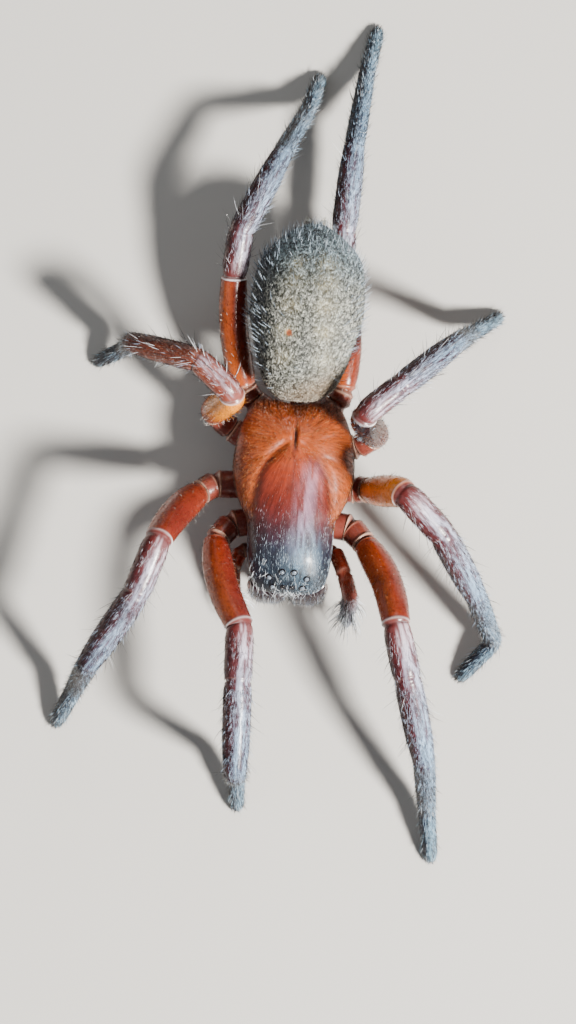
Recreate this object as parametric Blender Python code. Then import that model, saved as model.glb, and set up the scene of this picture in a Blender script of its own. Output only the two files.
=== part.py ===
"""A still, life-size ground spider of the genus Sinocoelotes.

The sizes below are in millimetres, and MM turns them into metres.  The body frame
has the spider's left along +X, its tail along +Y, up along +Z, the floor at Z = 0
and the middle of the carapace at X = 0, Y = 0.  FRAME_SHIFT then puts the middle of
the whole stance over the model's origin.

Every leg is one centre line with rounded corners.  The line is cut across into
four lengths, so that the pieces meet face to face with JOINT_GAP between them.
"""
import math
from typing import NamedTuple

import bmesh
import bpy
from mathutils import Matrix, Vector

MM = 0.001
MODEL_NAME = "sinocoelotes_spider"
FRAME_SHIFT = (0.28, -1.22, 0.0)

# Thin cuts between the pieces
JOINT_GAP = 0.30
SOCKET_GAP = 0.04

# Faces round and along each lofted body
CARAPACE_FACES = (32, 26)
ABDOMEN_FACES = (32, 24)
STERNUM_FACES = (18, 14)
CHELICERA_FACES = (18, 14)
MOUTHPART_FACES = (12, 8)
EYE_FACES = (8, 6)
LIMB_SIDE_RESOLUTION = 3
SMALL_TUBE_SIDE_RESOLUTION = 2

# Carapace: the shield over the head and the chest, from its rear rim to its front
CARAPACE_REAR = 2.50
CARAPACE_FRONT = -4.25
CARAPACE_HALF_WIDTH = [
    (-4.25, 1.50), (-2.40, 1.51), (-1.75, 1.55), (-1.30, 1.76), (-0.80, 1.98),
    (0.10, 2.14), (1.15, 2.02), (2.00, 1.80), (2.50, 1.65),
]
CARAPACE_TOP = [
    (-4.25, 3.98), (-3.95, 4.22), (-3.50, 4.43), (-2.80, 4.56), (-1.80, 4.50),
    (-0.60, 4.28), (0.60, 4.12), (1.30, 3.98), (1.90, 3.70), (2.50, 3.30),
]
CARAPACE_RIM_HEIGHT = [(-4.25, 3.58), (-3.20, 3.28), (-1.80, 3.05), (0.50, 2.95), (2.50, 3.00)]
CARAPACE_UNDERSIDE = [(-4.25, 3.32), (-3.20, 2.95), (-1.80, 2.75), (0.50, 2.75), (2.50, 2.78)]
CARAPACE_REAR_BLUNTNESS = 8.0
CARAPACE_FRONT_BLUNTNESS = 5.0
HEAD_BOXINESS = [(-4.25, 0.82), (-1.60, 0.86), (-0.60, 1.00), (2.50, 1.00)]
REAR_NOTCH_DEPTH = 0.14
REAR_NOTCH_HALF_WIDTH = 0.55
FOVEA_DEPTH = 0.16
FOVEA_CENTRE = 1.20
FOVEA_HALF_LENGTH = 0.42
FOVEA_HALF_WIDTH = 0.16

# Furrow between head and chest: half the head's width at each place along it
HEAD_EDGE = [(-1.60, 1.47), (-0.50, 1.30), (0.20, 1.03), (0.66, 0.68), (1.00, 0.34), (1.35, 0.04)]
HEAD_GROOVE_DEPTH = 0.12
HEAD_GROOVE_HALF_WIDTH = 0.20
HEAD_GROOVE_FADE = (-1.75, -1.25, 0.90, 1.30)

# Chest core between the legs, with the sternum as its underside
STERNUM_REAR = 2.15
STERNUM_FRONT = -1.95
STERNUM_HALF_WIDTH = [(-1.95, 0.75), (-0.80, 0.90), (0.40, 0.90), (1.40, 0.72), (2.15, 0.55)]
STERNUM_TOP = 2.45
STERNUM_UNDERSIDE = 1.35
STERNUM_BLUNTNESS = 4.0
STERNUM_BOXINESS = 0.75

# Waist
PEDICEL_FRONT = (0.00, 2.48, 2.22)
PEDICEL_BACK = (0.02, 2.86, 2.36)
PEDICEL_RADIUS = 0.26

# Abdomen, turned a little to the spider's left
ABDOMEN_REAR = 8.72
ABDOMEN_FRONT = 2.45
ABDOMEN_HALF_WIDTH = [
    (2.45, 1.80), (3.00, 1.78), (3.50, 1.72), (4.00, 1.75), (4.50, 1.80), (5.60, 1.98),
    (7.07, 1.98), (7.60, 1.89), (8.10, 1.66), (8.50, 1.28), (8.72, 1.10),
]
ABDOMEN_MID_HEIGHT = [
    (2.45, 3.94), (3.30, 3.84), (4.50, 3.80), (6.00, 3.80), (7.50, 3.70), (8.72, 3.40),
]
ABDOMEN_RISE = [(2.45, 1.15), (3.50, 1.42), (4.50, 1.55), (6.00, 1.64), (7.50, 1.56), (8.72, 1.20)]
ABDOMEN_DROP = [(2.45, 0.85), (3.50, 1.25), (4.50, 1.48), (6.00, 1.60), (7.50, 1.55), (8.72, 1.20)]
ABDOMEN_END_BLUNTNESS = 2.6
ABDOMEN_YAW_DEGREES = 2.5
ABDOMEN_YAW_PIVOT = (0.18, 5.70)
BELLY_TAPER = 1.15

# Spinnerets: three pairs of short cones on a common base under the tail
SPINNERET_BASE = (0.33, 8.74, 2.38)
SPINNERET_BASE_HALF_SIZE = (0.34, 0.14, 0.24)
SPINNERET_LENGTH = 0.42
SPINNERET_RADIUS = 0.11
SPINNERET_SPREAD = (0.20, 0.13)
SPINNERET_RISE_DEGREES = 8.0
SPINNERET_FAN_DEGREES = (8.0, 10.0)
SPINNERET_OUTER_ROWS_SPREAD = 0.7
SPINNERET_ROW_SHORTENING = 0.15
SPINNERET_TAPER = [(0.0, 1.0), (0.7, 0.8), (1.0, 0.4)]

# Chelicerae, the bulging jaws under the front of the head, and their fangs.
# Each table gives a value at heights from the toe to the top.
CHELICERA_TOE = 0.96
CHELICERA_TOP = 2.94
CHELICERA_FRONT = [(0.96, -4.24), (1.40, -4.43), (2.00, -4.58), (2.55, -4.64), (2.94, -4.56)]
CHELICERA_BACK = [(0.96, -3.90), (1.40, -3.70), (2.00, -3.42), (2.55, -3.34), (2.94, -3.46)]
CHELICERA_HALF_WIDTH = [(0.96, 0.46), (1.40, 0.52), (2.00, 0.58), (2.55, 0.60), (2.94, 0.58)]
CHELICERA_MIDDLE = [(0.96, 0.66), (1.40, 0.70), (2.00, 0.74), (2.94, 0.76)]
CHELICERA_BLUNTNESS = 3.2
CHELICERA_BOXINESS = 0.92
FANG_ROOT = (0.78, -3.98, 0.72)
FANG_BEND = (0.68, -4.12, 0.40)
FANG_TIP = (0.24, -3.88, 0.24)
FANG_ROOT_RADIUS = 0.15
FANG_BEND_RADIUS = 0.105
FANG_TIP_RADIUS = 0.04

# Mouthparts: the labium between two endites
LABIUM_CENTRE = (0.0, -2.58, 1.50)
LABIUM_HALF_SIZE = (0.30, 0.32, 0.18)
ENDITE_CENTRE = (0.46, -2.68, 1.58)
ENDITE_HALF_SIZE = (0.30, 0.42, 0.22)
ENDITE_TOE_IN_DEGREES = 18.0

# Eyes: four in each of two rows, seen from above
EYES = {
    "anterior_median": (0.155, -4.03, 0.085),
    "anterior_lateral": (0.520, -4.02, 0.100),
    "posterior_median": (0.210, -3.50, 0.105),
    "posterior_lateral": (0.650, -3.70, 0.105),
}
EYE_SINK = 0.03

# Legs: lengths of femur, patella, tibia, metatarsus and tarsus
LEG_LENGTHS = {
    1: (4.05, 1.90, 3.35, 3.30, 2.10),
    2: (3.85, 2.05, 3.20, 3.30, 2.00),
    3: (3.45, 1.80, 2.85, 3.00, 1.75),
    4: (4.05, 1.60, 3.05, 3.20, 1.80),
}
TIP_HEIGHT = 0.07
CORNER_RADIUS = 0.50
CORNER_SHARE = 0.42
ARC_STEP_DEGREES = 30.0
CUT_OVERLAP = 0.25
RING_SHARES = (0.14, 0.36, 0.62, 0.86)
RING_CLEARANCE = 0.12
END_CLEARANCE = 0.06
HEADING_STEP = 0.02
FEMUR_MARK, KNEE_MARK, ANKLE_MARK = 2.0, 3.0, 5.0

# Radius along each leg length, as (share of its length, radius)
COXA_RADIUS = [(0.00, 0.40), (0.25, 0.48), (0.80, 0.49), (1.00, 0.44)]
TROCHANTER_RADIUS = [(0.00, 0.44), (0.30, 0.46), (1.00, 0.40)]
FEMUR_RADIUS = [(0.00, 0.40), (0.12, 0.50), (0.35, 0.55), (0.70, 0.54), (1.00, 0.48)]
PATELLA_RADIUS = [(0.00, 0.45), (0.30, 0.49), (0.80, 0.49), (1.00, 0.45)]
TIBIA_RADIUS = [(0.00, 0.45), (0.20, 0.48), (0.60, 0.47), (1.00, 0.38)]
METATARSUS_RADIUS = [(0.00, 0.36), (0.15, 0.36), (0.70, 0.32), (1.00, 0.29)]
TARSUS_RADIUS = [(0.00, 0.29), (0.30, 0.28), (0.80, 0.25), (1.00, 0.17)]
LEG_RADIUS_SCALE = {1: 1.00, 2: 1.00, 3: 0.90, 4: 0.92}

# How each pair's femora bend at their middle: outward share, upward share and size
FEMUR_BEND = {1: (1.0, 0.3, 0.22), 2: (1.0, 0.5, 0.12), 3: (0.0, 1.0, 0.10), 4: (1.0, 0.3, 0.18)}

# Palps: four joints each, one node from the endite to the tip
PALP_LINES = {
    "left": [
        (1.02, -2.80, 1.72), (1.66, -2.76, 2.02), (1.98, -3.50, 3.00),
        (2.24, -4.30, 2.45), (2.14, -5.30, 1.20),
    ],
    "right": [
        (-1.02, -2.80, 1.72), (-1.72, -2.86, 1.80), (-1.98, -3.50, 1.78),
        (-1.94, -4.30, 1.30), (-1.72, -5.15, 0.46),
    ],
}
PALP_RADIUS = [(0.00, 0.22), (0.15, 0.27), (0.45, 0.26), (0.80, 0.27), (1.00, 0.16)]
PALP_CORNER_RADIUS = 0.30


class LegPose(NamedTuple):
    """Where one leg starts, and the bearing and rise of each of its lengths.

    A bearing is in degrees anticlockwise from the spider's left, seen from above.
    The rise of the metatarsus is worked out, so that the tip rests on the floor.
    """
    number: int
    side: str
    coxa_root: tuple
    coxa_end: tuple
    femur_root: tuple
    femur: tuple
    patella: tuple
    tibia: tuple
    metatarsus_bearing: float
    tarsus: tuple


LEG_POSES = [
    LegPose(1, "left", (1.20, -1.75, 1.90), (2.15, -1.88, 1.95), (2.67, -2.42, 2.40),
            (-67, 44), (-75, -4), (-75, -25), -81, (-82, -28)),
    LegPose(1, "right", (-1.20, -1.75, 1.90), (-2.12, -1.95, 1.95), (-2.62, -2.55, 2.40),
            (-70, 41), (-89, 6), (-89, -8), -87, (-87, -42)),
    LegPose(2, "left", (1.20, -0.50, 1.85), (2.30, -0.47, 1.90), (2.74, -0.49, 2.30),
            (-1, 74), (-44, -14), (-57, -38), -62, (-129, -22)),
    LegPose(2, "right", (-1.20, -0.50, 1.85), (-2.75, -0.55, 1.95), (-3.33, -0.91, 2.25),
            (-126, 58), (-109, -3), (-122, -18), -120, (-117, -40)),
    LegPose(3, "left", (1.20, 0.80, 1.85), (2.25, 1.05, 1.90), (2.89, 1.41, 2.30),
            (142, 75), (41, -8), (41, -27), 37, (35, -40)),
    LegPose(3, "right", (-1.20, 0.80, 1.85), (-2.30, 1.45, 1.90), (-3.00, 1.98, 2.30),
            (29, 73), (139, 3), (167, -30), 190, (205, -44)),
    LegPose(4, "left", (0.86, 2.05, 1.85), (1.42, 2.52, 1.90), (1.62, 3.02, 1.90),
            (94, -3), (90, 8), (86, 4), 83, (79, -20)),
    LegPose(4, "right", (-0.86, 2.05, 1.85), (-1.58, 2.48, 1.95), (-1.90, 2.95, 2.10),
            (98, 18), (84, 14), (65, -3), 66, (74, -36)),
]

# Colours, roughness
COLOURS = {
    "carapace": ((0.40, 0.13, 0.035), 0.35),
    "sternum": ((0.22, 0.08, 0.035), 0.45),
    "pedicel": ((0.25, 0.10, 0.05), 0.45),
    "abdomen": ((0.075, 0.078, 0.068), 0.70),
    "spinnerets": ((0.30, 0.26, 0.20), 0.60),
    "chelicerae": ((0.045, 0.020, 0.020), 0.30),
    "fangs": ((0.030, 0.010, 0.008), 0.20),
    "mouthparts": ((0.16, 0.05, 0.03), 0.45),
    "palps": ((0.33, 0.075, 0.025), 0.40),
    "eyes": ((0.012, 0.012, 0.016), 0.05),
    "coxae": ((0.15, 0.045, 0.025), 0.40),
    "femora": ((0.36, 0.075, 0.025), 0.35),
    "tibiae": ((0.22, 0.055, 0.035), 0.45),
    "feet": ((0.075, 0.085, 0.105), 0.55),
}


def profile(stations, at):
    """Value at a place on a smooth curve through (place, value) stations."""
    last = len(stations) - 1
    if at <= stations[0][0]:
        return stations[0][1]
    if at >= stations[last][0]:
        return stations[last][1]

    def slope_of(index):
        (x0, y0), (x1, y1) = stations[index], stations[index + 1]
        return (y1 - y0) / (x1 - x0)

    def tangent_at(index):
        if index == 0:
            return slope_of(0)
        if index == last:
            return slope_of(last - 1)
        before, after = slope_of(index - 1), slope_of(index)
        if before * after <= 0.0:
            return 0.0
        return 2.0 * before * after / (before + after)

    index = max(k for k in range(last) if stations[k][0] <= at)
    (x0, y0), (x1, y1) = stations[index], stations[index + 1]
    width = x1 - x0
    t = (at - x0) / width
    return ((1 + 2 * t) * (1 - t) ** 2 * y0 + t * (1 - t) ** 2 * width * tangent_at(index)
            + t * t * (3 - 2 * t) * y1 + t * t * (t - 1) * width * tangent_at(index + 1))


def bell(distance, half_width):
    """One at the middle, falling smoothly to nothing a few half-widths away."""
    return math.exp(-(distance / half_width) ** 2)


def signed_power(value, power):
    return math.copysign(abs(value) ** power, value)


def end_rounding(share, bluntness):
    """Size of a cross-section at a share of the body's length, from 0 at its ends."""
    return (1.0 - abs(2.0 * share - 1.0) ** bluntness) ** (1.0 / bluntness)


def fade(value, low, low_full, high_full, high):
    """One between the two full places, falling in straight lines to nothing outside."""
    rising = (value - low) / (low_full - low)
    falling = (high - value) / (high - high_full)
    return min(1.0, max(0.0, min(rising, falling)))


def head_groove(x, y):
    """Depth of the furrow that parts the head from the chest."""
    step = 0.05
    slope = (profile(HEAD_EDGE, y + step) - profile(HEAD_EDGE, y - step)) / (2 * step)
    distance = (abs(x) - profile(HEAD_EDGE, y)) / math.hypot(1.0, slope)
    return (HEAD_GROOVE_DEPTH * bell(distance, HEAD_GROOVE_HALF_WIDTH)
            * fade(y, *HEAD_GROOVE_FADE))


def carapace_section(y, side, up):
    """Point of the carapace at y, where (side, up) is a direction round its section."""
    share = (CARAPACE_REAR - y) / (CARAPACE_REAR - CARAPACE_FRONT)
    bluntness = CARAPACE_REAR_BLUNTNESS if share < 0.5 else CARAPACE_FRONT_BLUNTNESS
    scale = end_rounding(min(1.0, max(0.0, share)), bluntness)
    rim = profile(CARAPACE_RIM_HEIGHT, y)
    boxiness = profile(HEAD_BOXINESS, y)
    x = profile(CARAPACE_HALF_WIDTH, y) * scale * signed_power(side, boxiness)
    if up >= 0.0:
        z = rim + (profile(CARAPACE_TOP, y) - rim) * scale * up ** boxiness
    else:
        z = rim - (rim - profile(CARAPACE_UNDERSIDE, y)) * scale * (-up) ** 0.5
    if up > 0.0:
        fovea = bell(x, FOVEA_HALF_WIDTH) * bell(y - FOVEA_CENTRE, FOVEA_HALF_LENGTH)
        z -= up * (FOVEA_DEPTH * fovea + head_groove(x, y))
    if y > 0.0:
        y -= REAR_NOTCH_DEPTH * bell(x, REAR_NOTCH_HALF_WIDTH) * (y / CARAPACE_REAR) ** 6
    return Vector((x, y, z))


def carapace_top_at(x, y):
    """Height and outward direction of the carapace's upper face at (x, y)."""
    def height(px, py):
        low, high = 0.0, math.pi / 2
        for _ in range(40):
            angle = (low + high) / 2
            point = carapace_section(py, math.cos(angle), math.sin(angle))
            if point.x > abs(px):
                low = angle
            else:
                high = angle
        return carapace_section(py, math.cos(high), math.sin(high)).z

    step = 0.02
    slope_x = (height(x + step, y) - height(x - step, y)) / (2 * step)
    slope_y = (height(x, y + step) - height(x, y - step)) / (2 * step)
    return height(x, y), Vector((-slope_x, -slope_y, 1.0)).normalized()


def sternum_section(y, side, up):
    share = (STERNUM_REAR - y) / (STERNUM_REAR - STERNUM_FRONT)
    scale = end_rounding(min(1.0, max(0.0, share)), STERNUM_BLUNTNESS)
    middle = (STERNUM_TOP + STERNUM_UNDERSIDE) / 2
    half_height = (STERNUM_TOP - STERNUM_UNDERSIDE) / 2
    x = profile(STERNUM_HALF_WIDTH, y) * scale * signed_power(side, STERNUM_BOXINESS)
    return Vector((x, y, middle + half_height * scale * signed_power(up, STERNUM_BOXINESS)))


def abdomen_section(y, side, up):
    share = (ABDOMEN_REAR - y) / (ABDOMEN_REAR - ABDOMEN_FRONT)
    scale = end_rounding(min(1.0, max(0.0, share)), ABDOMEN_END_BLUNTNESS)
    pivot_x, pivot_y = ABDOMEN_YAW_PIVOT
    middle_x = pivot_x + (y - pivot_y) * math.tan(math.radians(ABDOMEN_YAW_DEGREES))
    taper = BELLY_TAPER if up < 0.0 else 1.0
    reach = profile(ABDOMEN_RISE if up >= 0.0 else ABDOMEN_DROP, y)
    x = middle_x + profile(ABDOMEN_HALF_WIDTH, y) * scale * signed_power(side, taper)
    return Vector((x, y, profile(ABDOMEN_MID_HEIGHT, y) + reach * scale * up))


def chelicera_section(z, side, forward):
    """Point of the left jaw at height z, bulging forward near its top."""
    share = (z - CHELICERA_TOE) / (CHELICERA_TOP - CHELICERA_TOE)
    scale = end_rounding(min(1.0, max(0.0, share)), CHELICERA_BLUNTNESS)
    front, back = profile(CHELICERA_FRONT, z), profile(CHELICERA_BACK, z)
    x = (profile(CHELICERA_MIDDLE, z)
         + profile(CHELICERA_HALF_WIDTH, z) * scale * signed_power(side, CHELICERA_BOXINESS))
    y = (front + back) / 2 - (back - front) / 2 * scale * signed_power(forward, CHELICERA_BOXINESS)
    return Vector((x, y, z))


def clear_scene():
    for item in list(bpy.data.objects):
        bpy.data.objects.remove(item, do_unlink=True)


def make_collection(name):
    collection = bpy.data.collections.new(name)
    bpy.context.scene.collection.children.link(collection)
    return collection


def make_material(name, colour, roughness):
    material = bpy.data.materials.new(name)
    material.use_nodes = True
    shader = material.node_tree.nodes["Principled BSDF"]
    shader.inputs["Base Color"].default_value = (*colour, 1.0)
    shader.inputs["Roughness"].default_value = roughness
    shader.inputs["Metallic"].default_value = 0.0
    return material


def finish_mesh(bm, name):
    """Turn a bmesh in millimetres into a mesh in metres with its faces pointing out."""
    bmesh.ops.scale(bm, vec=(MM, MM, MM), verts=bm.verts)
    bmesh.ops.recalc_face_normals(bm, faces=bm.faces)
    mesh = bpy.data.meshes.new(name)
    bm.to_mesh(mesh)
    bm.free()
    mesh.shade_smooth()
    return mesh


class Model:
    """The collections, the frame that carries every piece, and the materials."""

    def __init__(self):
        self.parts = make_collection(MODEL_NAME)
        self.cutters = make_collection("cutters")
        self.frame = bpy.data.objects.new("body_frame", None)
        self.frame.location = Vector(FRAME_SHIFT) * MM
        self.parts.objects.link(self.frame)
        self.materials = {}
        for name, (colour, roughness) in COLOURS.items():
            self.materials[name] = make_material(name, colour, roughness)

    def add(self, name, mesh, material):
        piece = bpy.data.objects.new(name, mesh)
        mesh.materials.clear()
        mesh.materials.append(self.materials[material])
        self.parts.objects.link(piece)
        piece.parent = self.frame
        return piece

    def add_cutter(self, name, mesh):
        cutter = bpy.data.objects.new(name, mesh)
        self.cutters.objects.link(cutter)
        cutter.parent = self.frame
        cutter.hide_render = True
        cutter.display_type = "WIRE"
        return cutter


def lofted_ball(name, section, start, end, faces):
    """A sphere whose rings take the shape of a section function from start to end."""
    around, along = faces
    bm = bmesh.new()
    bmesh.ops.create_uvsphere(bm, u_segments=around, v_segments=along, radius=1.0)
    for vertex in bm.verts:
        share = (1.0 - vertex.co.z) / 2.0
        ring = math.hypot(vertex.co.x, vertex.co.y)
        side = vertex.co.x / ring if ring > 1e-6 else 0.0
        up = vertex.co.y / ring if ring > 1e-6 else 0.0
        vertex.co = section(start + (end - start) * share, side, up)
    return finish_mesh(bm, name)


def ball(bm, centre, half_size, faces, turn=None):
    """An ellipsoid added to a bmesh, in millimetres."""
    around, along = faces
    made = bmesh.ops.create_uvsphere(bm, u_segments=around, v_segments=along, radius=1.0)
    matrix = Matrix.Translation(centre) @ (turn or Matrix()) @ Matrix.Diagonal((*half_size, 1.0))
    bmesh.ops.transform(bm, matrix=matrix, verts=made["verts"])


def joined(name, pieces, scratch):
    """One closed mesh from several closed meshes that run into each other."""
    base = bpy.data.objects.new(name, pieces[0])
    scratch.objects.link(base)
    group = bpy.data.collections.new(name + "_pieces")
    scratch.children.link(group)
    for index, mesh in enumerate(pieces[1:]):
        group.objects.link(bpy.data.objects.new(f"{name}_piece_{index}", mesh))
    union = base.modifiers.new("union", "BOOLEAN")
    union.operation = "UNION"
    union.operand_type = "COLLECTION"
    union.collection = group
    union.solver = "EXACT"
    bpy.context.view_layer.update()
    evaluated = base.evaluated_get(bpy.context.evaluated_depsgraph_get())
    mesh = bpy.data.meshes.new_from_object(evaluated)
    mesh.name = name
    for item in list(group.objects) + [base]:
        bpy.data.objects.remove(item, do_unlink=True)
    bpy.data.collections.remove(group)
    mesh.shade_smooth()
    return mesh


def tube_mesh(name, points, side_resolution):
    """A round tube with flat ends through (place, radius) points."""
    curve = bpy.data.curves.new(name, "CURVE")
    curve.dimensions = "3D"
    curve.bevel_depth = 1.0
    curve.bevel_resolution = side_resolution
    curve.use_fill_caps = True
    spline = curve.splines.new("POLY")
    spline.points.add(len(points) - 1)
    for control, (place, radius) in zip(spline.points, points):
        control.co = (*(Vector(place) * MM), 1.0)
        control.radius = radius * MM
    holder = bpy.data.objects.new(name, curve)
    bpy.context.scene.collection.objects.link(holder)
    bpy.context.view_layer.update()
    evaluated = holder.evaluated_get(bpy.context.evaluated_depsgraph_get())
    mesh = bpy.data.meshes.new_from_object(evaluated)
    bpy.data.objects.remove(holder, do_unlink=True)
    bpy.data.curves.remove(curve)
    bm = bmesh.new()
    bm.from_mesh(mesh)
    bmesh.ops.remove_doubles(bm, verts=bm.verts, dist=1e-6)
    bmesh.ops.recalc_face_normals(bm, faces=bm.faces)
    bm.to_mesh(mesh)
    bm.free()
    mesh.name = name
    mesh.shade_smooth()
    return mesh


def cut_off(mesh, planes):
    """Cut off what lies beyond each (place, outward) plane and close it with a flat face."""
    bm = bmesh.new()
    bm.from_mesh(mesh)
    for place, outward in planes:
        geometry = bm.verts[:] + bm.edges[:] + bm.faces[:]
        cut = bmesh.ops.bisect_plane(bm, geom=geometry, dist=1e-7, plane_co=Vector(place) * MM,
                                     plane_no=outward, clear_outer=True)
        rim = [item for item in cut["geom_cut"] if isinstance(item, bmesh.types.BMEdge)]
        bmesh.ops.holes_fill(bm, edges=rim, sides=0)
    bmesh.ops.recalc_face_normals(bm, faces=bm.faces)
    bm.to_mesh(mesh)
    bm.free()
    mesh.shade_smooth()


def direction(bearing, rise):
    """Unit direction of a leg length."""
    bearing, rise = math.radians(bearing), math.radians(rise)
    flat = math.cos(rise)
    return Vector((flat * math.cos(bearing), flat * math.sin(bearing), math.sin(rise)))


def rounded_line(corners, radius_of, corner_radius):
    """Points along a line with arcs at its corners: (distance, place, radius, length)."""
    samples = []

    def add(place, index, share):
        samples.append((Vector(place), index, min(1.0, max(0.0, share))))

    lengths = [(b - a).length for a, b in zip(corners, corners[1:])]
    reaches = [0.0] * len(corners)
    for index in range(1, len(corners) - 1):
        before = (corners[index] - corners[index - 1]).normalized()
        after = (corners[index + 1] - corners[index]).normalized()
        wanted = corner_radius * math.tan(before.angle(after) / 2)
        limit = CORNER_SHARE * min(lengths[index - 1], lengths[index])
        reaches[index] = min(wanted, limit)
    for index, length in enumerate(lengths):
        start, end = corners[index], corners[index + 1]
        along = (end - start) / length
        first, last = reaches[index], length - reaches[index + 1]
        inner = [share * length for share in RING_SHARES]
        add(start + along * first, index, first / length)
        for place in inner:
            if first + RING_CLEARANCE < place < last - RING_CLEARANCE:
                add(start + along * place, index, place / length)
        add(start + along * last, index, last / length)
        if index + 1 < len(lengths):
            reach = reaches[index + 1]
            onward = (corners[index + 2] - end).normalized()
            turn = along.angle(onward)
            steps = max(2, 2 * round(math.degrees(turn) / ARC_STEP_DEGREES / 2))
            arc_radius = reach / math.tan(turn / 2)
            inward = (onward - along * onward.dot(along)).normalized()
            for step in range(1, steps):
                angle = turn * step / steps
                place = (end - along * reach + along * arc_radius * math.sin(angle)
                         + inward * arc_radius * (1 - math.cos(angle)))
                part = step / steps
                if part < 0.5:
                    add(place, index, 1.0 - (1.0 - 2 * part) * reach / length)
                else:
                    add(place, index + 1, (2 * part - 1.0) * reach / lengths[index + 1])
    line = []
    travelled = 0.0
    for number, (place, index, share) in enumerate(samples):
        if number:
            travelled += (place - samples[number - 1][0]).length
        line.append((travelled, place, radius_of(index, share), index + share))
    return line


def at_mark(line, mark):
    """Distance along a rounded line where its running length number reaches a mark."""
    for before, after in zip(line, line[1:]):
        if before[3] <= mark <= after[3] and after[3] > before[3]:
            share = (mark - before[3]) / (after[3] - before[3])
            return before[0] + (after[0] - before[0]) * share
    return line[-1][0] if mark >= line[-1][3] else line[0][0]


def point_at(line, distance):
    for before, after in zip(line, line[1:]):
        if before[0] <= distance <= after[0]:
            share = (distance - before[0]) / (after[0] - before[0])
            return before[1].lerp(after[1], share), before[2] + (after[2] - before[2]) * share
    return line[-1][1], line[-1][2]


def heading_at(line, distance):
    """Unit direction of a rounded line at a distance along it."""
    before = point_at(line, distance - HEADING_STEP)[0]
    after = point_at(line, distance + HEADING_STEP)[0]
    return (after - before).normalized()


def stretch(line, start, end):
    """The places and radii of a rounded line between two distances along it."""
    points = [point_at(line, start)]
    points += [(item[1], item[2]) for item in line
               if start + END_CLEARANCE < item[0] < end - END_CLEARANCE]
    points.append(point_at(line, end))
    return points


def leg_corners(pose):
    """The corners of a leg's centre line, from its root to its tip."""
    femur, patella, tibia, metatarsus, tarsus = LEG_LENGTHS[pose.number]
    corners = [Vector(pose.coxa_root), Vector(pose.coxa_end), Vector(pose.femur_root)]
    corners.append(corners[-1] + direction(*pose.femur) * femur)
    corners.append(corners[-1] + direction(*pose.patella) * patella)
    corners.append(corners[-1] + direction(*pose.tibia) * tibia)
    last_step = direction(*pose.tarsus) * tarsus
    drop = corners[-1].z + last_step.z - TIP_HEIGHT
    rise = -math.degrees(math.asin(min(1.0, drop / metatarsus)))
    corners.append(corners[-1] + direction(pose.metatarsus_bearing, rise) * metatarsus)
    corners.append(corners[-1] + last_step)
    return corners


def femur_bend(pose):
    """How far the middle of a leg's femur lies off the straight line, as a vector."""
    outward, upward, size = FEMUR_BEND[pose.number]
    along = direction(*pose.femur)
    aim = Vector((math.copysign(outward, pose.femur_root[0]), 0.0, upward))
    return (aim - along * aim.dot(along)).normalized() * size


def leg_line(pose):
    """A leg's rounded line, with its femur bent."""
    scale = LEG_RADIUS_SCALE[pose.number]
    tables = [COXA_RADIUS, TROCHANTER_RADIUS, FEMUR_RADIUS, PATELLA_RADIUS,
              TIBIA_RADIUS, METATARSUS_RADIUS, TARSUS_RADIUS]

    def radius_of(index, share):
        return scale * profile(tables[index], share)

    bend = femur_bend(pose)
    line = []
    for travelled, place, radius, mark in rounded_line(leg_corners(pose), radius_of, CORNER_RADIUS):
        share = min(1.0, max(0.0, mark - FEMUR_MARK))
        line.append((travelled, place + bend * math.sin(math.pi * share), radius, mark))
    return line


def add_leg(model, pose):
    """Four nodes: coxa with trochanter, femur, patella with tibia, and foot."""
    line = leg_line(pose)
    base = f"leg_{pose.number}_{pose.side}_"
    cuts = [at_mark(line, mark) for mark in (FEMUR_MARK, KNEE_MARK, ANKLE_MARK)]
    ends = [0.0] + cuts + [line[-1][0]]
    names = [("coxa", "coxae"), ("femur", "femora"), ("tibia", "tibiae"), ("foot", "feet")]
    for index, (part, material) in enumerate(names):
        start, end = ends[index], ends[index + 1]
        planes = [((0.0, 0.0, 0.0), (0.0, 0.0, -1.0))]
        if index > 0:
            heading = heading_at(line, start)
            planes.append((point_at(line, start)[0] + heading * JOINT_GAP / 2, -heading))
            start -= CUT_OVERLAP
        if index < len(names) - 1:
            heading = heading_at(line, end)
            planes.append((point_at(line, end)[0] - heading * JOINT_GAP / 2, heading))
            end += CUT_OVERLAP
        mesh = tube_mesh(base + part, stretch(line, start, end), LIMB_SIDE_RESOLUTION)
        cut_off(mesh, planes)
        model.add(base + part, mesh, material)


def add_palp(model, side):
    corners = [Vector(corner) for corner in PALP_LINES[side]]
    total = len(corners) - 1

    def radius_of(index, share):
        return profile(PALP_RADIUS, (index + share) / total)

    line = rounded_line(corners, radius_of, PALP_CORNER_RADIUS)
    mesh = tube_mesh(f"palp_{side}", stretch(line, 0.0, line[-1][0]), LIMB_SIDE_RESOLUTION)
    model.add(f"palp_{side}", mesh, "palps")


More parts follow.
